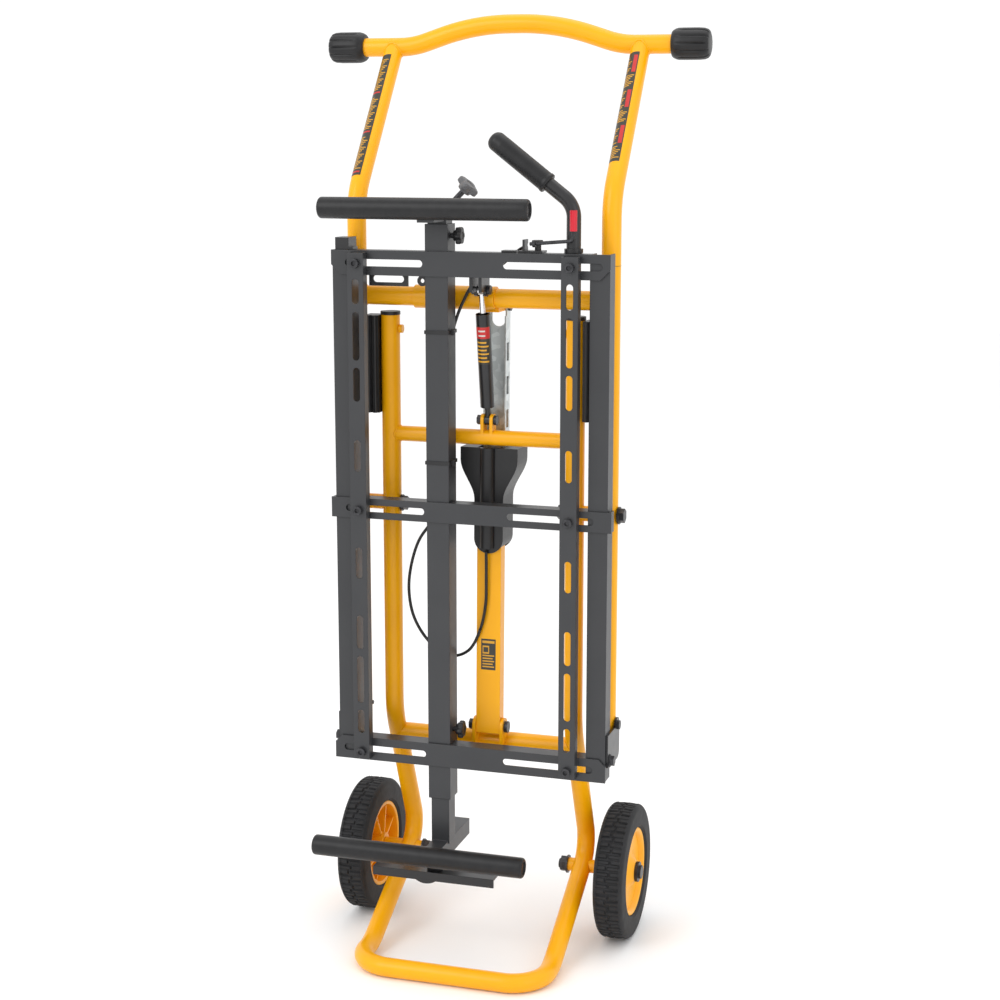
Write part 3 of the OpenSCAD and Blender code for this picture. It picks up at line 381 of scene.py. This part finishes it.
def smooth_line(points, steps):
    """A smooth curve through the points, with so many steps between each two."""
    line = []
    last = len(points) - 1
    for i in range(last):
        a, b, c, d = points[max(i - 1, 0)], points[i], points[i + 1], points[min(i + 2, last)]
        for k in range(steps):
            t = k / steps
            bend = (2 * a - 5 * b + 4 * c - d) * t * t
            twist = (3 * b - a - 3 * c + d) * t ** 3
            line.append(0.5 * (2 * b + (c - a) * t + bend + twist))
    return line + [points[last]]


def tube(name, line, radius, material, sides=12, closed=False):
    """A round tube along a line of points."""
    count = len(line)
    points = []
    side = None
    for i, p in enumerate(line):
        if closed:
            way = (line[(i + 1) % count] - line[i - 1]).normalized()
        else:
            way = (line[min(i + 1, count - 1)] - line[max(i - 1, 0)]).normalized()
        if side is None:
            side = axes_along(way)[1]
        side = (side - way * side.dot(way)).normalized()
        up = way.cross(side)
        for k in range(sides):
            angle = 2 * math.pi * k / sides
            points.append(p + (side * math.cos(angle) + up * math.sin(angle)) * radius)
    faces = grid_faces(count, sides)
    faces += closing_faces(count, sides) if closed else end_faces(count, sides)
    return mesh_piece(name, points, faces, material)


def finish_piece(piece, body, slot, *replaced):
    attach(piece, body)
    if replaced:
        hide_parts(*replaced)
    return piece


# ---- wheels ----

TREAD_PITCHES = 36
TREAD_STEPS = 12
TREAD_DEPTH = 2.6 * MM
RIB_COUNT = 8
RIB_THICK = 3 * MM


def tread_depth(across, angle):
    """Depth of the tread's grooves: two staggered rows of blocks beside a wavy middle groove."""
    turn = angle / (2 * math.pi) * TREAD_PITCHES
    wave = 2.2 * MM * (1 if turn % 1 < 0.5 else -1)
    if abs(across - wave) < 1.1 * MM:
        return TREAD_DEPTH
    phase = (turn + (0.5 if across > wave else 0.0)) % 1
    if phase < 0.17:
        return TREAD_DEPTH
    if 0.5 <= phase < 0.585:
        return TREAD_DEPTH * 0.6
    return 0.0


def tyre(side):
    """Solid rubber tyre with a block tread between smooth shoulders."""
    node = f"tyre_{side}"
    rim_low, rim_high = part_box(f"rim_{side}")
    outer = size(node).z / 2
    half = size(node).x / 2
    inner = (rim_high.z - rim_low.z) / 2
    middle = centre(node)
    corner = 9 * MM
    tread_half = half - 5.5 * MM
    shoulder = [(-half + 3 * MM, inner + 0.3 * MM), (-half, inner + 4 * MM), (-half, outer - corner)]
    for k in range(1, 6):
        a = math.pi / 2 * k / 6
        shoulder.append((-half + corner * (1 - math.cos(a)), outer - corner * (1 - math.sin(a))))
    crown_steps = 22
    crown_drop = 1.2 * MM
    crown = []
    for k in range(crown_steps + 1):
        across = -tread_half + 2 * tread_half * k / crown_steps
        crown.append((across, outer - crown_drop * (across / tread_half) ** 2))
    profile = shoulder + crown + [(-along, r) for along, r in reversed(shoulder)]

    def shape(along, r, angle):
        on_tread = abs(along) <= tread_half and r > outer - 2 * MM
        return r - tread_depth(along, angle) if on_tread else r

    around = TREAD_PITCHES * TREAD_STEPS
    piece = turned(
        f"tread_{side}", middle, (1, 0, 0), profile, FINISHES["tyre"], shape, around, ring=True
    )
    smooth_by_angle(piece, 35)
    return finish_piece(piece, f"wheel_{side}", "tyre", node)


def rim(side):
    """Moulded rim: a dished outer face, and an inner face with pockets between ribs."""
    node = f"rim_{side}"
    low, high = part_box(node)
    outward = -1 if side == "left" else 1
    middle = centre(node)
    outer = (high.z - low.z) / 2
    hub = (high.x - low.x) / 2
    width = 19 * MM
    lip = 6 * MM
    hub_r = 16 * MM
    bore = 7.2 * MM
    profile = [
        (-hub, bore), (-hub, hub_r - 1 * MM), (-hub + 1 * MM, hub_r), (2 * MM, hub_r + 1.5 * MM),
        (2 * MM, outer - lip - 1.5 * MM), (-width + 1 * MM, outer - lip),
        (-width, outer - lip + 1 * MM), (-width, outer - 1 * MM), (-width + 1 * MM, outer),
        (width - 1 * MM, outer), (width, outer - 1 * MM), (width, outer - lip + 2 * MM),
        (width - 1.2 * MM, outer - lip), (width - 7 * MM, outer - lip - 3 * MM),
        (width - 8 * MM, hub_r + 14 * MM), (width - 4 * MM, hub_r + 6 * MM), (hub - 1 * MM, hub_r),
        (hub, hub_r - 1 * MM), (hub, bore),
    ]
    disc = turned(
        f"rim_disc_{side}", middle, (outward, 0, 0), profile, FINISHES["yellow_plastic"],
        around=96, ring=True,
    )
    smooth_by_angle(disc, 40)
    finish_piece(disc, f"wheel_{side}", "yellow_plastic", node)
    rib_inner = hub_r - 1 * MM
    rib_outer = outer - lip + 0.5 * MM
    web_side = 2.5 * MM
    corners = [(rib_inner, web_side), (rib_inner, -hub + 4 * MM), (rib_outer, -width + 5 * MM),
               (rib_outer, web_side)]
    faces = [(0, 1, 2, 3), (7, 6, 5, 4), (0, 4, 5, 1), (1, 5, 6, 2), (2, 6, 7, 3), (3, 7, 4, 0)]
    for k in range(RIB_COUNT):
        angle = 2 * math.pi * (k + 0.5) / RIB_COUNT
        out = Vector((0, math.cos(angle), math.sin(angle)))
        across = Vector((0, -math.sin(angle), math.cos(angle)))
        points = []
        for offset in (-RIB_THICK / 2, RIB_THICK / 2):
            for r, x in corners:
                points.append(middle + out * r + Vector((outward * x, 0, 0)) + across * offset)
        rib = mesh_piece(f"rim_rib_{side}_{k}", points, faces, FINISHES["yellow_plastic"], False)
        apply_modifier(rib, "BEVEL", width=0.6 * MM, segments=2)
        finish_piece(rib, f"wheel_{side}", "yellow_plastic")


for side in ("left", "right"):
    tyre(side)
    rim(side)


# ---- grips, caps, pads and knobs ----


def handle_cap(sign):
    """Fluted rubber cap on one end of the handle bar."""
    low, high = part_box("handle_caps")
    middle = (low + high) / 2
    radius = (high.z - low.z) / 2
    length = 54 * MM
    start = Vector((sign * (high.x - length), middle.y, middle.z))
    flute_start = 9 * MM
    profile = [
        (0, 14 * MM), (0, radius - 4.5 * MM), (1.2 * MM, radius - 3.2 * MM), (5 * MM, radius - 1.2 * MM),
        (flute_start, radius - 0.2 * MM), (16 * MM, radius), (38 * MM, radius),
        (46 * MM, radius - 0.6 * MM), (50.5 * MM, radius - 2.2 * MM), (53 * MM, radius - 4.8 * MM),
        (length, radius - 8 * MM), (length, 3 * MM),
    ]
    flutes = 12
    flute_depth = 1.9 * MM

    def fluted(along, r, angle):
        fade_in = min(max((along - flute_start) / (6 * MM), 0), 1)
        fade_out = min(max((length + 0.5 * MM - along) / (3 * MM), 0), 1)
        groove = max(0.0, math.cos(flutes * angle)) ** 3
        return r - flute_depth * groove * fade_in * fade_out if r > 12 * MM else r

    name = "handle_cap_right" if sign > 0 else "handle_cap_left"
    cap = turned(name, start, (sign, 0, 0), profile, FINISHES["rubber"], fluted, 192)
    smooth_by_angle(cap, 50)
    finish_piece(cap, "handle_frame", "rubber", "handle_caps")


for sign in (-1, 1):
    handle_cap(sign)


def tilt_grip():
    """Grip sleeve on the slanted end of the tilt handle, with a collar and fine rings."""
    start = place(*GRIP_START)
    end = place(*GRIP_END)
    length = (end - start).length
    radius = 14.5 * MM
    body_r = radius - 0.6 * MM
    pitch = 2.4 * MM
    dome = 12 * MM
    profile = [
        (0, 10.2 * MM), (0, radius - 1.2 * MM), (1 * MM, radius), (5 * MM, radius),
        (6 * MM, radius - 0.9 * MM),
    ]
    rings = int((length - 2 * dome) / pitch)
    for k in range(rings):
        along = 8 * MM + k * pitch
        profile += [(along, body_r), (along + 0.5 * pitch, body_r - 0.25 * MM)]
    for k in range(1, 8):
        a = math.pi / 2 * k / 7
        profile.append((length - dome + dome * math.sin(a), body_r * (0.25 + 0.75 * math.cos(a))))
    grip = turned("tilt_grip_sleeve", start, end - start, profile, FINISHES["rubber"], around=64)
    smooth_by_angle(grip, 60)
    finish_piece(grip, "panel_frame", "rubber", "tilt_grip")


tilt_grip()


def pad(name, node, body):
    """Foam sleeve with softly rounded ends, a little fuller in the middle of its length."""
    low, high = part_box(node)
    radius = (high.z - low.z) / 2
    length = high.x - low.x
    origin = Vector((low.x, (low.y + high.y) / 2, (low.z + high.z) / 2))
    ends = 4 * MM
    swell = 0.2 * MM
    end = [(2.2 * MM, 0.5 * MM), (2.2 * MM, 9.3 * MM), (0.2 * MM, 9.8 * MM)]
    for k in range(6):
        a = math.pi / 2 * k / 5
        end.append((ends * (1 - math.cos(a)), radius - ends + (ends - swell) * math.sin(a)))
    steps = 24
    crown = []
    for k in range(1, steps):
        along = ends + (length - 2 * ends) * k / steps
        crown.append((along, radius - swell + swell * math.sin(math.pi * k / steps)))
    profile = end + crown + [(length - along, r) for along, r in reversed(end)]
    piece = turned(name, origin, (1, 0, 0), profile, FINISHES["rubber"], around=72)
    smooth_by_angle(piece, 50)
    finish_piece(piece, body, "rubber", node)


pad("upper_pad_sleeve", "upper_pad", "upper_rest")
pad("lower_pad_sleeve", "lower_pad", "lower_rest")


def star_knob(name, node, body, slot, start, direction, radius, height, lobes, depth, reach):
    """Hand knob with round lobes, a domed top and a stud that reaches back into its mast."""
    shares = [
        (0.25, 0.62), (0.34, 0.94), (0.42, 1), (0.8, 1), (0.93, 0.93), (1, 0.78), (1, 0.4),
        (0.93, 0.36), (0.93, 0.05),
    ]
    profile = [(0, 4 * MM), (0, radius * 0.55)] + [(height * z, radius * r) for z, r in shares]

    def lobed(along, r, angle):
        share = min(max((r / radius - 0.55) / 0.4, 0), 1)
        return r - depth * share * (0.5 - 0.5 * math.cos(lobes * angle))

    knob = turned(name, start, direction, profile, FINISHES[slot], lobed, 120)
    smooth_by_angle(knob, 45)
    finish_piece(knob, body, slot, node)
    way = Vector(direction).normalized()
    stud_r = 4 * MM
    stud_profile = [(0, stud_r - 0.4 * MM), (0.2 * MM, stud_r), (reach + 0.3 * MM, stud_r)]
    stud = turned(
        f"{name}_stud", start - way * reach, direction, stud_profile, FINISHES["black_steel"]
    )
    smooth_by_angle(stud, 45)
    finish_piece(stud, body, "black_steel")


def side_knob(level):
    """The knob that clamps the upper or the lower post in the mast."""
    height = 12 * MM
    start = centre(f"knob_{level}")
    start.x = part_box(f"knob_{level}")[1].x - height
    star_knob(
        f"knob_{level}_star", f"knob_{level}", f"{level}_knob", "black_plastic", start, (1, 0, 0),
        radius=12.9 * MM, height=height, lobes=6, depth=2.6 * MM, reach=3.8 * MM,
    )


def pad_knob():
    """The larger knob at the mast's top, on a slanted stud."""
    foot = centre("mast")
    foot.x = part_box("mast")[1].x + 1 * MM
    foot.z = PAD_KNOB_Z * MM
    slant = Vector((1, 0, 1)).normalized()
    star_knob(
        "knob_pad_lobed", "knob_pad", "pad_knob", "grey_plastic", foot + slant * 24 * MM, slant,
        radius=17 * MM, height=13.8 * MM, lobes=4, depth=5 * MM, reach=23 * MM,
    )


for level in ("upper", "lower"):
    side_knob(level)
pad_knob()


# ---- release cable ----

CABLE_RADIUS = 2.25 * MM
ROUTE_STEPS = 6
UPPER_ROUTE = [(75, -98, 1027), (60, -90, 1019), (37, -82, 1001), (14, -75, 987), (-8, -80, 970),
               (-19, -84, 950), (-30, -84, 925), (-38, -84, 895), (-43, -84, 844), (-45, -83, 771),
               (-46, -82, 705)]
LEFT_ROUTE = [(-46, -82, 705), (-51, -79, 657), (-72, -76, 628), (-93, -74, 598), (-106, -72, 558)]
LOW_ROUTE = [(-106, -72, 558), (-109, -72, 520), (-101, -72, 482), (-79, -72, 449), (-48, -72, 430),
             (-18, -72, 440), (0, -72, 473)]
RIGHT_ROUTE = [(0, -72, 473), (8, -72, 511), (9, -72, 548), (9, -72, 590)]


def cable_piece(name, route, before=None, after=None):
    """One stretch of the cable, smooth into the points before and after it."""
    whole = list(route)
    if before:
        whole.insert(0, before)
    if after:
        whole.append(after)
    line = smooth_line([place(*point) for point in whole], ROUTE_STEPS)
    if before:
        line = line[ROUTE_STEPS:]
    if after:
        line = line[:-ROUTE_STEPS]
    piece = tube(name, line, CABLE_RADIUS, FINISHES["black_plastic"])
    return piece


cable_top = cable_piece("cable_upper", UPPER_ROUTE, after=LEFT_ROUTE[1])
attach(cable_top, "panel_frame")
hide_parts("cable")
cable_left = cable_piece("cable_left", LEFT_ROUTE, UPPER_ROUTE[-2], LOW_ROUTE[1])
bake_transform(cable_left)
cable_low = cable_piece("cable_low", LOW_ROUTE, LEFT_ROUTE[-2], RIGHT_ROUTE[1])
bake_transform(cable_low)
cable_right = cable_piece("cable_right", RIGHT_ROUTE, LOW_ROUTE[-2])
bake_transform(cable_right)


# ---- seams, welds and labels ----

TUBE_R = 13.5 * MM
MID_BAR_R = 11 * MM
SEAM_STEPS = 64
WELD_STEPS = 72
BAND_STEPS = 14
PRINT_LIFT = 0.22
FIELDS = 3
FIELD_PITCH = 0.325
SIDES = ((-1, "left"), (1, "right"))


def ring_seam(name, origin, direction, radius, body):
    """The fine dark line where one tube is pressed into the next."""
    u, v = axes_along(direction)[1:]
    line = []
    for k in range(SEAM_STEPS):
        angle = 2 * math.pi * k / SEAM_STEPS
        line.append(origin + (u * math.cos(angle) + v * math.sin(angle)) * radius)
    seam = tube(name, line, 0.3 * MM, FINISHES["black_steel"], 6, closed=True)
    finish_piece(seam, body, "black_steel")


def weld_bead(name, line, body):
    weld = tube(name, line, 1.5 * MM, FINISHES["yellow_paint"], 10, closed=True)
    finish_piece(weld, body, "yellow_paint")


def saddle_weld(name, post, bar_r, side, body):
    """Bead where a crossbar along X meets an upright along Z, on the side that faces the middle."""
    line = []
    for k in range(WELD_STEPS):
        angle = 2 * math.pi * k / WELD_STEPS
        y = bar_r * math.cos(angle)
        z = bar_r * math.sin(angle)
        x = math.sqrt(max(TUBE_R ** 2 - y ** 2, (0.3 * TUBE_R) ** 2))
        line.append(post + Vector((-side * x, y, z)))
    weld_bead(name, line, body)


def handle_weld(side, middle, slope):
    """Bead where a handle tube, which rises along slope, meets the handle bar."""
    rise = Vector((1, 0, 0)).cross(slope)
    line = []
    for k in range(WELD_STEPS):
        angle = 2 * math.pi * k / WELD_STEPS
        across = TUBE_R * math.cos(angle)
        lift = TUBE_R * math.sin(angle)
        depth = math.sqrt(max(TUBE_R ** 2 - lift ** 2, (0.25 * TUBE_R) ** 2))
        line.append(middle + Vector((across, 0, 0)) + rise * lift - slope * depth)
    weld_bead(f"weld_handle_{side}", line, "handle_frame")


for sign, side in SIDES:
    arm = centre(f"arm_{side}")
    seam_at = Vector((arm.x, arm.y, ARM_SEAM_Z * MM))
    top_joint = Vector((arm.x, arm.y, centre("arm_crossbar").z))
    mid_joint = Vector((centre(f"leg_{side}").x, arm.y, MID_BAR_Z * MM))
    ring_seam(f"arm_seam_{side}", seam_at, (0, 0, 1), TUBE_R, "handle_frame")
    saddle_weld(f"weld_top_{side}", top_joint, TUBE_R, sign, "handle_frame")
    saddle_weld(f"weld_mid_{side}", mid_joint, MID_BAR_R, sign, "leg_frame")


def tube_label(name, start, end, facing, radius, width, bands, body):
    """Label along a tube: bands is a list of (from, to, left, right, material, lift). The first four
    are shares of its size, and lift is in millimetres. Bands of one material and lift make one piece."""
    way = (end - start).normalized()
    out = (facing - way * facing.dot(way)).normalized()
    side = way.cross(out).normalized()
    layers = {}
    for low, high, left, right, material, lift in bands:
        points, faces = layers.setdefault((material.name, lift), ([], []))
        first = len(points)
        ends = (start.lerp(end, low), start.lerp(end, high))
        arc = (width * (left - 0.5), width * (right - 0.5))
        points += wrapped_band(ends, side, out, radius + lift * MM, arc)
        for face in grid_faces(2, BAND_STEPS + 1, closed=False):
            faces.append(tuple(first + corner for corner in face))
    for i, ((material_name, lift), (points, faces)) in enumerate(layers.items()):
        patch = mesh_piece(f"{name}_{i}", points, faces, bpy.data.materials[material_name])
        finish_piece(patch, body, "black_plastic")


def wrapped_band(ends, side, out, reach, arc):
    """Points of a patch on a tube of radius reach, between two arc lengths, at each of its ends."""
    left, right = arc
    points = []
    for end in ends:
        for k in range(BAND_STEPS + 1):
            angle = (left + (right - left) * k / BAND_STEPS) / reach
            points.append(end + (side * math.sin(angle) + out * math.cos(angle)) * reach)
    return points


def text_rows(low, high, pitch, left, right, seed):
    """Rows of short ochre bars of uneven length that stand for lines of print."""
    rows = []
    for k in range(int((high - low) / pitch)):
        at = low + k * pitch
        end = right - 0.12 * ((k * 7 + seed) % 4)
        rows.append((at, at + 0.45 * pitch, left, end, LABEL_OCHRE, PRINT_LIFT))
    return rows


def left_bands():
    """A dark strip full of rows, with three thin red lines."""
    bands = [(0.0, 1.0, 0.0, 1.0, LABEL_DARK, 0.15)]
    for k in range(FIELDS):
        low = 0.02 + FIELD_PITCH * k
        bands.append((low, low + 0.012, 0.12, 0.88, LABEL_RED, PRINT_LIFT))
        bands += text_rows(low + 0.03, low + 0.30, 0.014, 0.12, 0.88, k)
    return bands


def right_bands():
    """Three dark fields, each with a red block at one side of its upper half, and rows around it."""
    bands = [(0.0, 1.0, 0.0, 1.0, LABEL_DARK, 0.15)]
    for k in range(FIELDS):
        low = 0.03 + FIELD_PITCH * k
        bands.append((low + 0.13, low + 0.29, 0.62, 0.92, LABEL_RED, PRINT_LIFT))
        bands += text_rows(low + 0.13, low + 0.29, 0.016, 0.10, 0.52, k)
        bands += text_rows(low, low + 0.12, 0.016, 0.10, 0.90, k)
    return bands


def handle_tube(sign):
    """Both ends of the straight stretch of a handle tube, from its bend to the handle bar."""
    return place(sign * ARM_X, BEND_Y, BEND_Z), place(sign * ARM_X, HANDLE_BAR_Y, HANDLE_BAR_Z)


def handle_label(sign, side, low_share, bands):
    foot, head = handle_tube(sign)
    start = foot.lerp(head, low_share)
    end = foot.lerp(head, 0.91)
    facing = Vector((-0.35, -1, 0))
    name = f"handle_label_{side}"
    tube_label(name, start, end, facing, TUBE_R, 19 * MM, bands, "handle_frame")


handle_label(-1, "left", 0.10, left_bands())
handle_label(1, "right", 0.20, right_bands())


def flat_label(name, corner, across, up, bands, body):
    """Label on a flat face: bands are (left, right, low, high, material, lift), the first four as
    shares of its size."""
    out = across.cross(up).normalized()
    for i, (left, right, low, high, material, lift) in enumerate(bands):
        base = corner + out * lift * MM
        points = [base + across * left + up * low, base + across * right + up * low,
                  base + across * right + up * high, base + across * left + up * high]
        patch = mesh_piece(f"{name}_{i}", points, [(0, 1, 2, 3)], material, False)
        finish_piece(patch, body, "black_plastic")


def strut_label():
    """Small dark label on the front of the strut, with a plain frame and short bars."""
    up = Vector((0, math.sin(STRUT_LEAN), math.cos(STRUT_LEAN)))
    out = Vector((0, -math.cos(STRUT_LEAN), math.sin(STRUT_LEAN)))
    strut_face = 9.5 * MM
    corner = place(STRUT_LABEL_X, BEND_Y, STRUT_PIN_Z) + up * 86 * MM + out * strut_face
    bands = [(0, 1, 0, 1, LABEL_DARK, 0.12), (0.08, 0.92, 0.86, 0.94, LABEL_OCHRE, 0.2),
             (0.10, 0.55, 0.52, 0.78, LABEL_OCHRE, 0.2), (0.16, 0.49, 0.57, 0.73, LABEL_DARK, 0.27)]
    for k in range(5):
        low = 0.08 + 0.09 * k
        bands.append((0.10, 0.9 - 0.1 * (k % 2), low, low + 0.04, LABEL_OCHRE, 0.2))
    flat_label("strut_label", corner, Vector((22 * MM, 0, 0)), up * 46 * MM, bands, "strut")


def spring_label():
    """Band on the gas spring: a red block above a dark one with short bars."""
    foot = place(*SPRING_FOOT)
    way = (place(*SPRING_HEAD) - foot).normalized()
    cylinder_r = 10 * MM
    start = foot + way * 84 * MM
    end = foot + way * 139 * MM
    bands = [(0.0, 1.0, 0.0, 1.0, LABEL_DARK, 0.1), (0.68, 0.98, 0.0, 1.0, LABEL_RED, 0.18)]
    for k in range(6):
        low = 0.06 + 0.1 * k
        bands.append((low, low + 0.04, 0.14, 0.86 - 0.12 * (k % 2), LABEL_OCHRE, 0.18))
    for low in (0.74, 0.86):
        bands.append((low, low + 0.04, 0.3, 0.7, LABEL_PALE, 0.26))
    facing = Vector((0, -1, 0))
    tube_label("spring_label", start, end, facing, cylinder_r, 26 * MM, bands, "spring_body")


strut_label()
spring_label()
for sign, side in SIDES:
    bend, bar_end = handle_tube(sign)
    handle_weld(side, bar_end, (bar_end - bend).normalized())


# ---- stage, light and camera ----

LIFT_MIDDLE = Vector((0, 0, 0.7))
CAMERA_PLACE = (821.6, -2649.4, 1192.3)
CAMERA_TILT = math.radians(78.94)
CAMERA_TURN = math.radians(17.08)


def floor_material():
    floor = Shader("floor", (0.95, 0.95, 0.95), 0.8, specular=0.1)
    floor.tint(floor.noise(1.5, 2), (0.97, 0.97, 0.97))
    return floor.material


def stage():
    """A wide pale floor, just below the lift's lowest point."""
    reach = 9.0
    corners = [(-reach, -reach, 0), (reach, -reach, 0), (reach, reach, 0), (-reach, reach, 0)]
    floor = mesh_piece("floor", corners, [(0, 1, 2, 3)], floor_material(), False)
    floor.location.z = -0.4 * MM


def soft_light(name, origin, width, height, power):
    """A rectangular white light that faces the middle of the lift."""
    data = bpy.data.lights.new(name, "AREA")
    data.shape = "RECTANGLE"
    data.size = width
    data.size_y = height
    data.energy = power
    light = bpy.data.objects.new(name, data)
    light.location = origin
    light.rotation_euler = (LIFT_MIDDLE - Vector(origin)).to_track_quat("-Z", "Y").to_euler()
    bpy.context.scene.collection.objects.link(light)


def studio():
    world = bpy.data.worlds.new("studio")
    bpy.context.scene.world = world
    world.use_nodes = True
    sky = world.node_tree.nodes["Background"]
    sky.inputs["Color"].default_value = (1, 1, 1, 1)
    sky.inputs["Strength"].default_value = 1.06
    soft_light("key", (-1.6, -2.6, 2.6), 1.6, 2.2, 34)
    soft_light("fill", (2.6, -1.6, 1.4), 1.4, 2.4, 8)
    soft_light("top", (0.2, 0.6, 3.2), 2.4, 2.0, 14)


def camera():
    data = bpy.data.cameras.new("camera")
    data.sensor_width = 36
    data.lens = 69.46
    view = bpy.data.objects.new("camera", data)
    view.location = place(*CAMERA_PLACE)
    view.rotation_euler = (CAMERA_TILT, 0, CAMERA_TURN)
    bpy.context.scene.collection.objects.link(view)
    bpy.context.scene.camera = view


bpy.context.scene.view_settings.view_transform = "Standard"
stage()
studio()
camera()
